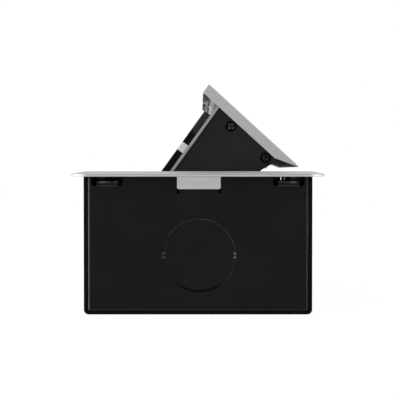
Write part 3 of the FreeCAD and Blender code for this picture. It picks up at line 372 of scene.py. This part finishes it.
def rim_tones(f):
    """The frame's painted tones: a painted shade line under its bevel, painted light at its tabs' roots,
    painted white glints round its corners.
    """
    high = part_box("top_frame")[1]
    across, along, up = f.axes()
    from_side = high[0] - across.absolute()
    from_end = high[1] - along.absolute()
    depth = high[2] - up
    line = band(depth, *BEVEL_LINE)
    tabs = depth.between(TAB_START, TAB_ROOT) * (1 - depth.between(TAB_ROOT, TAB_END))
    sides = (1 - from_side.between(CORNER_FULL, CORNER_END)) * from_side.between(0.0, CORNER_TIP)
    ends = 1 - from_end.between(CORNER_FULL, CORNER_END)
    corners = sides * ends * depth.between(CORNER_TOP, CORNER_UNDER)
    return (line, LINE_TONE), (tabs, TAB_TONE), (corners, CORNER_TONE)


def anodised(name, colour, gloss=0.33, metal=1.0, tones=None):
    """Satin anodised aluminium: bead-blasted grain, faint drawing lines along Y, edges painted a touch
    brighter as a highlight.
    """
    f = Finish(name)
    cloud = f.noise(30 * MM, 2.0)
    grain = f.noise(0.14 * MM, 1.0)
    drawn = f.noise(0.35 * MM, 2.0, 0.6, (1.0, 0.02, 1.0))
    base = f.mix(cloud.between(0.3, 0.7), paler(colour, 0.97), paler(colour, 1.03))
    # Painted highlight along the edges.
    base = f.mix(f.edge(0.3 * MM) * 0.5, base, paler(colour, 1.18))
    for share, times in tones(f) if tones else ():
        base = f.mix(share, base, paler(colour, times))
    roughness = gloss + 0.07 * grain + 0.06 * drawn
    normal = f.bump(grain * 0.6 + drawn * 0.4, 0.006 * MM, 0.5, f.rounded(0.18 * MM))
    return f.done(Base_Color=base, Metallic=metal, Roughness=roughness, Normal=normal)


def brushed(name, colour, gloss=0.30):
    """Brushed aluminium: long scratches along Y of several widths, then clear anodising."""
    f = Finish(name)
    fine = f.noise(0.09 * MM, 2.0, 0.6, (1.0, 0.008, 1.0))
    wide = f.noise(0.5 * MM, 3.0, 0.6, (1.0, 0.006, 1.0))
    cloud = f.noise(40 * MM, 2.0)
    streak = fine * 0.6 + wide * 0.4
    base = f.mix(streak.between(0.35, 0.65), paler(colour, 0.78), paler(colour, 1.18))
    # Painted highlight along the edges.
    base = f.mix(f.edge(0.45 * MM) * 0.8, base, paler(colour, 1.3))
    roughness = gloss + 0.14 * streak + 0.04 * cloud
    normal = f.bump(streak, 0.010 * MM, 0.55, f.rounded(0.16 * MM))
    return f.done(Base_Color=base, Metallic=1.0, Roughness=roughness, Normal=normal)


def moulded(name, colour, shine=0.3, gloss=0.42, grain_size=0.22 * MM):
    """Moulded plastic with a fine spark-eroded grain."""
    f = Finish(name)
    cloud = f.noise(16 * MM, 2.0)
    grain = f.noise(grain_size, 2.0, 0.6)
    base = f.mix(cloud.between(0.3, 0.7), paler(colour, 0.92), paler(colour, 1.1))
    roughness = gloss + 0.12 * grain + 0.05 * cloud
    normal = f.bump(grain, 0.016 * MM, 0.5, f.rounded(0.25 * MM))
    return f.done(Base_Color=base, Roughness=roughness, Specular_IOR_Level=shine, Normal=normal)


def greyed(name, colour, shine=0.05, lit_reach=10.0 * MM, fade=3.0 * MM, grey=12.0):
    """Moulded plastic painted grey from its top edge down, as painted light on the upper part of the bezel.
    """
    f = Finish(name)
    top = max(vertex.co.dot(FACE_UP) for vertex in NODES["bezel"].data.vertices)
    rise = f.dot(f.place, FACE_UP)
    grain = f.noise(0.22 * MM, 2.0, 0.6)
    blotch = f.noise(6 * MM, 3.0)
    # The painted light ends at a blotchy line this far below the top.
    edge = top - lit_reach + fade * (blotch - 0.5)
    base = f.mix((rise - edge).between(-fade, 0.0), rgb(colour), paler(colour, grey))
    roughness = 0.40 + 0.12 * grain + 0.06 * blotch
    normal = f.bump(grain, 0.016 * MM, 0.5, f.rounded(0.25 * MM))
    return f.done(Base_Color=base, Roughness=roughness, Specular_IOR_Level=shine, Normal=normal)


def plated_steel(name, colour, gloss=0.26):
    """Zinc plated steel: cloudy, faintly blue and yellow, with rolling lines."""
    f = Finish(name)
    cloud = f.noise(5 * MM, 3.0)
    rolled = f.noise(0.25 * MM, 2.0, 0.5, (1.0, 1.0, 0.05))
    cool, warm = tinted(colour, (0.93, 0.97, 1.05)), tinted(colour, (1.06, 1.02, 0.92))
    base = f.mix(cloud.between(0.3, 0.7), cool, warm)
    roughness = gloss + 0.14 * cloud + 0.06 * rolled
    normal = f.bump(rolled * 0.5 + cloud * 0.5, 0.008 * MM, 0.4, f.rounded(0.15 * MM))
    return f.done(Base_Color=base, Metallic=1.0, Roughness=roughness, Normal=normal)


def tempered_steel(name, colour):
    """Spring strip: dark blued steel with fine drawing lines."""
    f = Finish(name)
    drawn = f.noise(0.12 * MM, 2.0, 0.6, (1.0, 0.05, 1.0))
    heat = f.noise(6 * MM, 2.0)
    straw = tinted(colour, (1.25, 1.05, 0.8))
    base = f.mix(heat.between(0.45, 0.75), rgb(colour), straw)
    return f.done(Base_Color=base, Metallic=1.0, Roughness=0.24 + 0.16 * drawn,
                  Normal=f.bump(drawn, 0.006 * MM, 0.5, f.rounded(0.1 * MM)))


def turned_brass(name, colour):
    """Brass with light tarnish."""
    f = Finish(name)
    tarnish = f.noise(4 * MM, 4.0, 0.6)
    turned = f.noise(0.15 * MM, 2.0, 0.5, (0.1, 1.0, 1.0))
    base = f.mix(tarnish.between(0.5, 0.75), rgb(colour), paler(colour, 0.55))
    return f.done(Base_Color=base, Metallic=1.0, Roughness=0.22 + 0.22 * tarnish,
                  Normal=f.bump(turned, 0.006 * MM, 0.4, f.rounded(0.12 * MM)))


def nylon(name, colour):
    """Natural nylon, waxy and slightly cloudy."""
    f = Finish(name)
    cloud = f.noise(7 * MM, 2.0)
    grain = f.noise(0.3 * MM, 2.0)
    base = f.mix(cloud.between(0.3, 0.7), paler(colour, 0.94), paler(colour, 1.05))
    return f.done(Base_Color=base, Roughness=0.38 + 0.12 * grain, Subsurface_Weight=0.08,
                  Normal=f.bump(grain, 0.012 * MM, 0.4, f.rounded(0.2 * MM)))


def grip_rub(f):
    """Where a grip strip gets painted light: along its inner side, and over more of its width by the striker.
    """
    out = largest_side("lip_grips")
    inward = Vector((-out.z, 0.0, out.x))
    places = [vertex.co.dot(inward) for vertex in NODES["lip_grips"].data.vertices]
    share = (f.dot(f.place, inward) - min(places)) * (1 / (max(places) - min(places)))
    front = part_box("lip_grips")[0][1]
    striker_front, striker_back = (corner[1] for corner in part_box("striker"))
    along = f.axes()[1]
    # Painted shade at the front end, less by the striker, more again behind it.
    dark = GRIP_DARK - GRIP_LOSS * along.between(front, striker_front)
    dark = dark + GRIP_BACK * along.between(striker_front, striker_back)
    return (share - dark).between(-GRIP_SOFT, GRIP_SOFT)


def rubber(name, colour, painted_light_and_shade=None):
    """Matt rubber with a bloom, and painted light in pale where a given mask says."""
    f = Finish(name)
    bloom = f.noise(5 * MM, 4.0, 0.6)
    grain = f.noise(0.25 * MM, 2.0)
    bloomed, pale = paler(colour, 2.0), paler(colour, 13.0)
    base = f.mix(bloom.between(0.45, 0.75), rgb(colour), bloomed)
    if painted_light_and_shade:
        base = f.mix(painted_light_and_shade(f), base, pale)
    return f.done(Base_Color=base, Roughness=0.68 + 0.15 * grain,
                  Normal=f.bump(grain, 0.02 * MM, 0.5, f.rounded(0.3 * MM)))


def screw_middles(node):
    """The axes, as (x, z), of two screws that lie along Y."""
    points = sorted((vertex.co.x, vertex.co.z) for vertex in NODES[node].data.vertices)
    gaps = [after[0] - before[0] for before, after in zip(points, points[1:])]
    split = gaps.index(max(gaps)) + 1
    middles = []
    for group in (points[:split], points[split:]):
        heights = [z for x, z in group]
        middles.append(((group[0][0] + group[-1][0]) / 2, (min(heights) + max(heights)) / 2))
    return middles


def black_oxide(name, colour):
    """Blackened steel screws, with painted glints at the edges of the recess."""
    f = Finish(name)
    cloud = f.noise(1.5 * MM, 3.0)
    patches = f.noise(0.9 * MM, 2.0).between(0.42, 0.55)
    across, _, up = f.axes()
    bright = HEAD_SHINE
    # Painted glints in each recess, stronger on the upper screw.
    for (x, z), shine in zip(screw_middles("side_plate_screws"), RECESS_SHINES):
        reach = ((across - x).squared() + (up - z).squared()).root()
        bright = ((1 - reach.between(RECESS_FULL, RECESS_END)) * shine).most(bright)
    base = f.mix(cloud, paler(colour, 0.8), paler(colour, 1.5))
    base = f.mix(f.edge(0.3 * MM) * bright * at_least(0.4, patches), base, rgb(GLINT_STEEL))
    return f.done(Base_Color=base, Roughness=0.30 + 0.16 * cloud, Specular_IOR_Level=0.02,
                  Normal=f.bump(cloud, 0.01 * MM, 0.4, f.rounded(0.14 * MM)))


FINISHES = {
    "black_box": (powder_coat, {"shine": 0.04, "wear": 0.3}),
    "black_wall": (powder_coat, {"shine": 0.08, "wear": 0.8, "painted_light_and_shade": end_wall_rub}),
    "anodised_frame": (anodised, {"gloss": 0.48, "metal": 0.45, "tones": rim_tones}),
    "face_sheet": (anodised, {}),
    "brushed_lid": (brushed, {}),
    "black_plate": (powder_coat, {"shine": 0.12, "wear": 0.2, "peel_depth": 0.09 * MM}),
    "black_screw": (black_oxide, {}),
    "black_moulding": (greyed, {}),
    "socket_moulding": (moulded, {"shine": 0.25}),
    "bright_steel": (plated_steel, {}),
    "spring_steel": (tempered_steel, {}),
    "brass": (turned_brass, {}),
    "nylon": (nylon, {}),
    "damper_moulding": (moulded, {}),
    "button_moulding": (moulded, {}),
    "rubber": (rubber, {}),
    "grip_rubber": (rubber, {"painted_light_and_shade": grip_rub}),
}

# CAD nodes whose finish differs from that of their slot.
INSERTS = {"usb_module": "socket_moulding", "data_module": "socket_moulding", "lip_grips": "grip_rubber"}


def finish_for(slot, colours):
    """The material of a record slot, made once."""
    name = "finish_" + slot
    if name not in bpy.data.materials:
        make, settings = FINISHES[slot]
        make(name, getattr(colours, slot), **settings)
    return bpy.data.materials[name]


def wear_finish(nodes, colours):
    """Gives CAD nodes the finish of their slots."""
    for node in nodes:
        mesh = NODES[node].data
        mesh.materials.clear()
        mesh.materials.append(finish_for(INSERTS.get(node, SLOTS[node]), colours))


# Repeated small pieces

SCREW_SIDES = 32


def largest_side(node):
    """The outward direction of a node's largest flat side that faces the user."""
    areas = {}
    for polygon in NODES[node].data.polygons:
        if polygon.normal.x < 0:
            key = tuple(round(part, 4) for part in polygon.normal)
            areas[key] = areas.get(key, 0.0) + polygon.area
    return Vector(max(areas, key=areas.get)).normalized()


FACE_OUT = largest_side("face_plate")
FACE_UP = Vector((FACE_OUT.z, 0.0, -FACE_OUT.x))
FACE_TURN = math.atan2(FACE_OUT.z, -FACE_OUT.x)


def front_middle(node):
    """The middle of the front of a module in the leaning row."""
    points = [vertex.co for vertex in NODES[node].data.vertices]
    rises = [point.dot(FACE_UP) for point in points]
    along = [point.y for point in points]
    front = max(point.dot(FACE_OUT) for point in points)
    middle = FACE_OUT * front + FACE_UP * (min(rises) + max(rises)) / 2
    middle.y = (min(along) + max(along)) / 2
    return middle


def tree_with(name, inputs):
    """An empty Geometry Nodes tree with named inputs of the given types."""
    tree = bpy.data.node_groups.new(name, "GeometryNodeTree")
    tree.interface.new_socket("Geometry", in_out="OUTPUT", socket_type="NodeSocketGeometry")
    for label, kind in inputs.items():
        tree.interface.new_socket(label, in_out="INPUT", socket_type="NodeSocket" + kind)
    return Graph(tree)


def bar_rows():
    """The tree for rows of contact bars: a bar, repeated along a row, and rows, then set in place."""
    g = tree_with("bar_rows", {
        "Bar": "Vector", "Slope": "Vector", "Count": "Int", "Start": "Vector", "Step": "Vector",
        "Rows": "Int", "Row Step": "Vector", "Place": "Vector", "Turn": "Vector", "Finish": "Material"})
    given = g.node("NodeGroupInput").outputs
    bar = g.grow("MeshCube", {"Size": given["Bar"]})
    points = g.line(given["Count"], given["Step"], given["Start"])
    row = g.grow("InstanceOnPoints", {"Points": points, "Instance": bar, "Rotation": given["Slope"]})
    rows = g.line(given["Rows"], given["Row Step"])
    grid = g.grow("InstanceOnPoints", {"Points": rows, "Instance": row})
    plain = g.grow("RealizeInstances", {"Geometry": grid})
    placed = g.grow("Transform", {
        "Geometry": plain, "Translation": given["Place"], "Rotation": given["Turn"]})
    finished = g.grow("SetMaterial", {"Geometry": placed, "Material": given["Finish"]})
    g.node("NodeGroupOutput", {}, {"Geometry": finished})
    return g.tree


def slotted_heads():
    """The tree for a row of slotted screw heads that look up."""
    g = tree_with("slotted_heads", {
        "Radius": "Float", "Height": "Float", "Slot": "Vector", "Count": "Int", "Start": "Vector",
        "Step": "Vector", "Finish": "Material"})
    given = g.node("NodeGroupInput").outputs
    head = g.grow("MeshCylinder", {
        "Vertices": SCREW_SIDES, "Radius": given["Radius"], "Depth": given["Height"]})
    half = g.node("ShaderNodeMath", {"operation": "DIVIDE"}, {0: given["Height"], 1: 2.0})
    lift = g.node("ShaderNodeCombineXYZ", {}, {"Z": half.outputs["Value"]})
    slot = g.grow("MeshCube", {"Size": given["Slot"]})
    slot = g.grow("Transform", {"Geometry": slot, "Translation": lift.outputs["Vector"]})
    screw = g.grow("MeshBoolean", {"Mesh 1": head, "Mesh 2": slot}, {"operation": "DIFFERENCE"})
    points = g.line(given["Count"], given["Step"], given["Start"])
    row = g.grow("InstanceOnPoints", {"Points": points, "Instance": screw})
    plain = g.grow("RealizeInstances", {"Geometry": row})
    finished = g.grow("SetMaterial", {"Geometry": plain, "Material": given["Finish"]})
    g.node("NodeGroupOutput", {}, {"Geometry": finished})
    return g.tree


def tree_named(builder):
    """The tree that a builder makes, made once."""
    return bpy.data.node_groups.get(builder.__name__) or builder()


def grown(name, tree, values, body):
    """A piece grown by a node tree, kept as a plain mesh that rides on a body."""
    piece = bpy.data.objects.new(name, bpy.data.meshes.new(name))
    bpy.context.scene.collection.objects.link(piece)
    modifier = piece.modifiers.new("grow", "NODES")
    modifier.node_group = tree
    sockets = {item.name: item.identifier for item in tree.interface.items_tree if item.in_out == "INPUT"}
    for label, value in values.items():
        modifier[sockets[label]] = value
    shown = piece.evaluated_get(bpy.context.evaluated_depsgraph_get())
    mesh = bpy.data.meshes.new_from_object(shown)
    piece.modifiers.remove(modifier)
    piece.data = mesh
    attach(piece, body)
    return piece


# Settings

COLOURS = {
    "black_box": ("Box", "Powder coat of the steel box", (0.0028, 0.0028, 0.003)),
    "black_wall": ("End walls", "Powder coat of the end walls", (0.006, 0.006, 0.0062)),
    "anodised_frame": ("Frame", "Anodised frame and clips", (0.52, 0.523, 0.526)),
    "face_sheet": ("Face plate", "Anodised sheet round the bezel", (0.25, 0.25, 0.252)),
    "brushed_lid": ("Lid", "Brushed aluminium of the lid", (0.385, 0.385, 0.388)),
    "black_plate": ("Side plates", "Powder coat of the side plates", (0.009, 0.009, 0.0093)),
    "black_screw": ("Screws", "Blackened screws", (0.0015, 0.0015, 0.0016)),
    "black_moulding": ("Bezel", "Moulded bezel", (0.002, 0.002, 0.0021)),
    "socket_moulding": ("Sockets", "Moulded socket outlets", (0.014, 0.014, 0.015)),
    "bright_steel": ("Steel", "Zinc plated brackets, shaft and screws", (0.55, 0.56, 0.57)),
    "spring_steel": ("Spring", "Tempered spring strip", (0.16, 0.17, 0.20)),
    "brass": ("Contacts", "Brass contacts and the earth stud", (0.62, 0.44, 0.18)),
    "nylon": ("Gears", "Natural nylon gears and latch case", (0.70, 0.68, 0.61)),
    "damper_moulding": ("Damper", "Damper can and terminal block", (0.10, 0.10, 0.105)),
    "button_moulding": ("Button", "Release button", (0.02, 0.02, 0.021)),
    "rubber": ("Rubber", "Stops and buffers", (0.018, 0.018, 0.018)),
    "grip_rubber": ("Grips", "Grip strips under the lip", (0.035, 0.035, 0.035)),
}


def length(label, meaning, default):
    """A setting in metres."""
    return FloatProperty(name=label, description=meaning, default=default, unit="LENGTH")


def angle(label, meaning, degrees):
    """A setting in radians, given in degrees."""
    return FloatProperty(name=label, description=meaning, default=math.radians(degrees), subtype="ANGLE")


def power(label, meaning, default):
    """A setting in watts."""
    return FloatProperty(name=label, description=meaning, default=default, unit="POWER")


def plain(label, meaning, default):
    """A setting without a unit."""
    return FloatProperty(name=label, description=meaning, default=default)


def tint(label, meaning, default):
    """A colour setting."""
    return FloatVectorProperty(name=label, description=meaning, default=default, subtype="COLOR",
                               min=0.0, max=1.0)


class UnitColours(bpy.types.PropertyGroup):
    """The colour of each finish."""

    __annotations__ = {slot: tint(*setting) for slot, setting in COLOURS.items()}


class UnitSizes(bpy.types.PropertyGroup):
    """Sizes of the small contacts and terminal screws."""

    jack_pitch: length("Jack pitch", "Between the wires of a data jack", 1.02 * MM)
    jack_wire: length("Jack wire", "Thickness of a jack wire", 0.45 * MM)
    jack_reach: length("Jack reach", "Length of a jack wire", 8.3 * MM)
    jack_slope: angle("Jack slope", "Slope of a jack wire", 25.0)
    jack_spacing: length("Jack spacing", "Between the two jacks", 19.0 * MM)
    jack_floor: length("Jack floor", "From a jack's middle down to its floor", 5.75 * MM)
    usb_pitch: length("Charger pitch", "Between the pads of a charger port", 2.3 * MM)
    usb_pad: FloatVectorProperty(name="Charger pad", description="Length, thickness and width of a pad",
                                 default=(7.0 * MM, 0.2 * MM, 1.1 * MM), unit="LENGTH")
    usb_spacing: length("Charger spacing", "Between the two charger ports", 17.0 * MM)
    usb_tongue: length("Tongue offset", "From a port's middle to its tongue", 0.52 * MM)
    screw_radius: length("Terminal screw", "Radius of a terminal screw", 2.15 * MM)
    screw_height: length("Screw height", "Height of a terminal screw's head", 1.6 * MM)


class UnitStage(bpy.types.PropertyGroup):
    """Camera and light."""

    distance: length("Distance", "From the camera to the origin along Y", 0.675)
    sideways: length("Sideways", "Camera place along X", 0.00095)
    pitch: angle("Pitch", "Camera tilt below level", 1.345)
    lens: plain("Lens", "Focal length in millimetres on a 36 mm sensor", 110.2)
    world_light: plain("World light", "Strength of the surrounding light", 0.42)
    key_watts: power("Key light", "Power of the large lamp above", 5.0)
    fill_watts: power("Fill light", "Power of the lamp beside the camera", 1.6)
    rim_watts: power("Rim light", "Power of the small lamp that draws the left edges", 3.0)
    floor_glow: FloatProperty(name="Floor glow", description="Share of the floor that shows plain white",
                              default=0.96, subtype="FACTOR")


# Operators

class DressHousing(bpy.types.Operator):
    """Gives the box, the frame and the fixed inner pieces their finishes"""

    bl_idname = "socket_unit.dress_housing"
    bl_label = "Dress the housing"

    def execute(self, context):
        wear_finish(RECORD["behaviour"]["bodies"]["housing"], context.scene.unit_colours)
        return {"FINISHED"}


class DressCarrier(bpy.types.Operator):
    """Gives the lid, the side plates and the socket row their finishes"""

    bl_idname = "socket_unit.dress_carrier"
    bl_label = "Dress the flip-up carrier"

    def execute(self, context):
        wear_finish(RECORD["behaviour"]["bodies"]["carrier"], context.scene.unit_colours)
        return {"FINISHED"}


class DressMovers(bpy.types.Operator):
    """Gives the pinion, the bolt and the button their finishes"""

    bl_idname = "socket_unit.dress_movers"
    bl_label = "Dress the small movers"

    def execute(self, context):
        for body in ("damper_pinion", "latch_bolt", "release_button"):
            wear_finish(RECORD["behaviour"]["bodies"][body], context.scene.unit_colours)
        return {"FINISHED"}


class AddJackContacts(bpy.types.Operator):
    """Adds the eight sprung wires of each data jack"""

    bl_idname = "socket_unit.add_jack_contacts"
    bl_label = "Add jack contacts"
    jacks = 2
    wires = 8

    def execute(self, context):
        sizes = context.scene.unit_sizes
        rise = sizes.jack_reach * math.sin(sizes.jack_slope) / 2
        run = sizes.jack_reach * math.cos(sizes.jack_slope) / 2
        lowest = -(self.jacks - 1) * sizes.jack_spacing / 2 - sizes.jack_floor + rise
        grown("jack_contacts", tree_named(bar_rows), {
            "Bar": (sizes.jack_reach, sizes.jack_wire, sizes.jack_wire),
            "Slope": (0.0, -sizes.jack_slope, 0.0),
            "Count": self.wires,
            "Step": (0.0, sizes.jack_pitch, 0.0),
            "Rows": self.jacks,
            "Row Step": (0.0, 0.0, sizes.jack_spacing),
            "Start": (run + sizes.jack_pitch, -(self.wires - 1) * sizes.jack_pitch / 2, lowest),
            "Place": front_middle("data_module"),
            "Turn": (0.0, FACE_TURN, 0.0),
            "Finish": finish_for("brass", context.scene.unit_colours),
        }, "carrier")
        return {"FINISHED"}


class AddChargerContacts(bpy.types.Operator):
    """Adds the four pads on the tongue of each charger port"""

    bl_idname = "socket_unit.add_charger_contacts"
    bl_label = "Add charger contacts"
    ports = 2
    pads = 4

    def execute(self, context):
        sizes = context.scene.unit_sizes
        lowest = -((self.ports - 1) * sizes.usb_spacing + (self.pads - 1) * sizes.usb_pitch) / 2
        grown("charger_contacts", tree_named(bar_rows), {
            "Bar": sizes.usb_pad,
            "Slope": (0.0, 0.0, 0.0),
            "Count": self.pads,
            "Step": (0.0, 0.0, sizes.usb_pitch),
            "Rows": self.ports,
            "Row Step": (0.0, 0.0, sizes.usb_spacing),
            "Start": (sizes.usb_pad[0] / 2 + sizes.usb_pad[2], sizes.usb_tongue, lowest),
            "Place": front_middle("usb_module"),
            "Turn": (0.0, FACE_TURN, 0.0),
            "Finish": finish_for("brass", context.scene.unit_colours),
        }, "carrier")
        return {"FINISHED"}


class AddTerminalScrews(bpy.types.Operator):
    """Adds the slotted screws of the supply terminal"""

    bl_idname = "socket_unit.add_terminal_screws"
    bl_label = "Add terminal screws"
    ways = 3

    def execute(self, context):
        sizes = context.scene.unit_sizes
        low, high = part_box("terminal_block")
        pitch = (high[1] - low[1]) / self.ways
        grown("terminal_screws", tree_named(slotted_heads), {
            "Radius": sizes.screw_radius,
            "Height": sizes.screw_height,
            "Slot": (3 * sizes.screw_radius, sizes.screw_radius / 3, sizes.screw_height),
            "Count": self.ways,
            "Start": ((low[0] + high[0]) / 2, low[1] + pitch / 2, high[2] - sizes.screw_radius),
            "Step": (0.0, pitch, 0.0),
            "Finish": finish_for("brass", context.scene.unit_colours),
        }, "housing")
        return {"FINISHED"}


class SetStage(bpy.types.Operator):
    """Adds the white floor, the surrounding light, the lamps and the camera"""

    bl_idname = "socket_unit.set_stage"
    bl_label = "Set the stage"
    floor_size = 6.0
    floor_white = 0.86
    sensor_width = 36.0
    glow_strength = 1.025
    lamp_size = 0.9
    rim_size = 0.35
    key_place = (-0.55, -0.75, 1.15)
    fill_place = (0.75, -1.0, 0.55)
    rim_place = (-0.85, -0.60, 0.22)

    def execute(self, context):
        stage = context.scene.unit_stage
        context.scene.view_settings.view_transform = "Standard"
        self.light_world(context.scene, stage)
        self.lay_floor(stage)
        self.hang_lamp("key_light", self.key_place, stage.key_watts, self.lamp_size)
        self.hang_lamp("fill_light", self.fill_place, stage.fill_watts, self.lamp_size)
        self.hang_lamp("rim_light", self.rim_place, stage.rim_watts, self.rim_size)
        self.place_camera(context.scene, stage)
        return {"FINISHED"}

    @staticmethod
    def seen(graph):
        """1 where the camera, a reflection or a refraction looks, and 0 for the light itself."""
        path = graph.node("ShaderNodeLightPath").outputs
        total = path["Is Camera Ray"]
        for ray in ("Is Glossy Ray", "Is Transmission Ray"):
            larger = graph.node("ShaderNodeMath", {"operation": "MAXIMUM"}, {0: total, 1: path[ray]})
            total = larger.outputs["Value"]
        return total

    def light_world(self, scene, stage):
        world = bpy.data.worlds.new("studio")
        world.use_nodes = True
        world.node_tree.nodes.clear()
        graph = Graph(world.node_tree)
        strength = graph.node("ShaderNodeMapRange", {}, {
            "Value": self.seen(graph), "To Min": stage.world_light})
        sky = graph.node("ShaderNodeBackground", {}, {
            "Color": rgb(WHITE), "Strength": strength.outputs["Result"]})
        graph.node("ShaderNodeOutputWorld", {}, {"Surface": sky.outputs["Background"]})
        scene.world = world

    def lay_floor(self, stage):
        half = self.floor_size / 2
        mesh = bpy.data.meshes.new("floor")
        corners = [(-half, -half), (half, -half), (half, half), (-half, half)]
        mesh.from_pydata([(x, y, CAD_LOW[2]) for x, y in corners], [], [(0, 1, 2, 3)])
        material = bpy.data.materials.new("floor_white")
        material.use_nodes = True
        material.node_tree.nodes.clear()
        graph = Graph(material.node_tree)
        paint = graph.node("ShaderNodeBsdfDiffuse", {}, {"Color": paler(WHITE, self.floor_white)})
        glow = graph.node("ShaderNodeEmission", {}, {"Color": rgb(WHITE), "Strength": self.glow_strength})
        share = graph.node("ShaderNodeMath", {"operation": "MULTIPLY"}, {
            0: self.seen(graph), 1: stage.floor_glow})
        both = graph.node("ShaderNodeMixShader", {}, {
            0: share.outputs["Value"], 1: paint.outputs["BSDF"], 2: glow.outputs["Emission"]})
        graph.node("ShaderNodeOutputMaterial", {}, {"Surface": both.outputs["Shader"]})
        mesh.materials.append(material)
        floor = bpy.data.objects.new("floor", mesh)
        bpy.context.scene.collection.objects.link(floor)

    def hang_lamp(self, name, place, watts, size):
        lamp = bpy.data.lights.new(name, "AREA")
        lamp.shape = "DISK"
        lamp.size = size
        lamp.energy = watts
        hung = bpy.data.objects.new(name, lamp)
        hung.location = place
        middle = (Vector(CAD_LOW) + Vector(CAD_HIGH)) / 2
        hung.rotation_euler = (middle - Vector(place)).to_track_quat("-Z", "Y").to_euler()
        bpy.context.scene.collection.objects.link(hung)

    def place_camera(self, scene, stage):
        data = bpy.data.cameras.new("camera")
        data.lens = stage.lens
        data.sensor_width = self.sensor_width
        camera = bpy.data.objects.new("camera", data)
        camera.location = (stage.sideways, -stage.distance, FRAME_TOP)
        camera.rotation_euler = (math.pi / 2 - stage.pitch, 0.0, 0.0)
        scene.collection.objects.link(camera)
        scene.camera = camera


STEPS = (DressHousing, DressCarrier, DressMovers, AddJackContacts, AddChargerContacts, AddTerminalScrews,
         SetStage)


class UnitPanel(bpy.types.Panel):
    """Lists the steps that dress the unit, and its settings"""

    bl_label = "Pop-up socket unit"
    bl_idname = "VIEW3D_PT_socket_unit"
    bl_space_type = "VIEW_3D"
    bl_region_type = "UI"
    bl_category = "Socket unit"

    def draw(self, context):
        for step in STEPS:
            self.layout.operator(step.bl_idname)
        for group in (context.scene.unit_colours, context.scene.unit_sizes, context.scene.unit_stage):
            box = self.layout.box()
            for name in group.__annotations__:
                box.prop(group, name)


GROUPS = {"unit_colours": UnitColours, "unit_sizes": UnitSizes, "unit_stage": UnitStage}


def register():
    for group in GROUPS.values():
        bpy.utils.register_class(group)
    for step in STEPS + (UnitPanel,):
        bpy.utils.register_class(step)
    for name, group in GROUPS.items():
        setattr(bpy.types.Scene, name, PointerProperty(type=group))


def unregister():
    for name in GROUPS:
        delattr(bpy.types.Scene, name)
    for step in reversed(STEPS + (UnitPanel,)):
        bpy.utils.unregister_class(step)
    for group in GROUPS.values():
        bpy.utils.unregister_class(group)


def main():
    register()
    bpy.ops.socket_unit.dress_housing()
    bpy.ops.socket_unit.dress_carrier()
    bpy.ops.socket_unit.dress_movers()
    bpy.ops.socket_unit.add_jack_contacts()
    bpy.ops.socket_unit.add_charger_contacts()
    bpy.ops.socket_unit.add_terminal_screws()
    bpy.ops.socket_unit.set_stage()


if __name__ == "__main__":
    main()
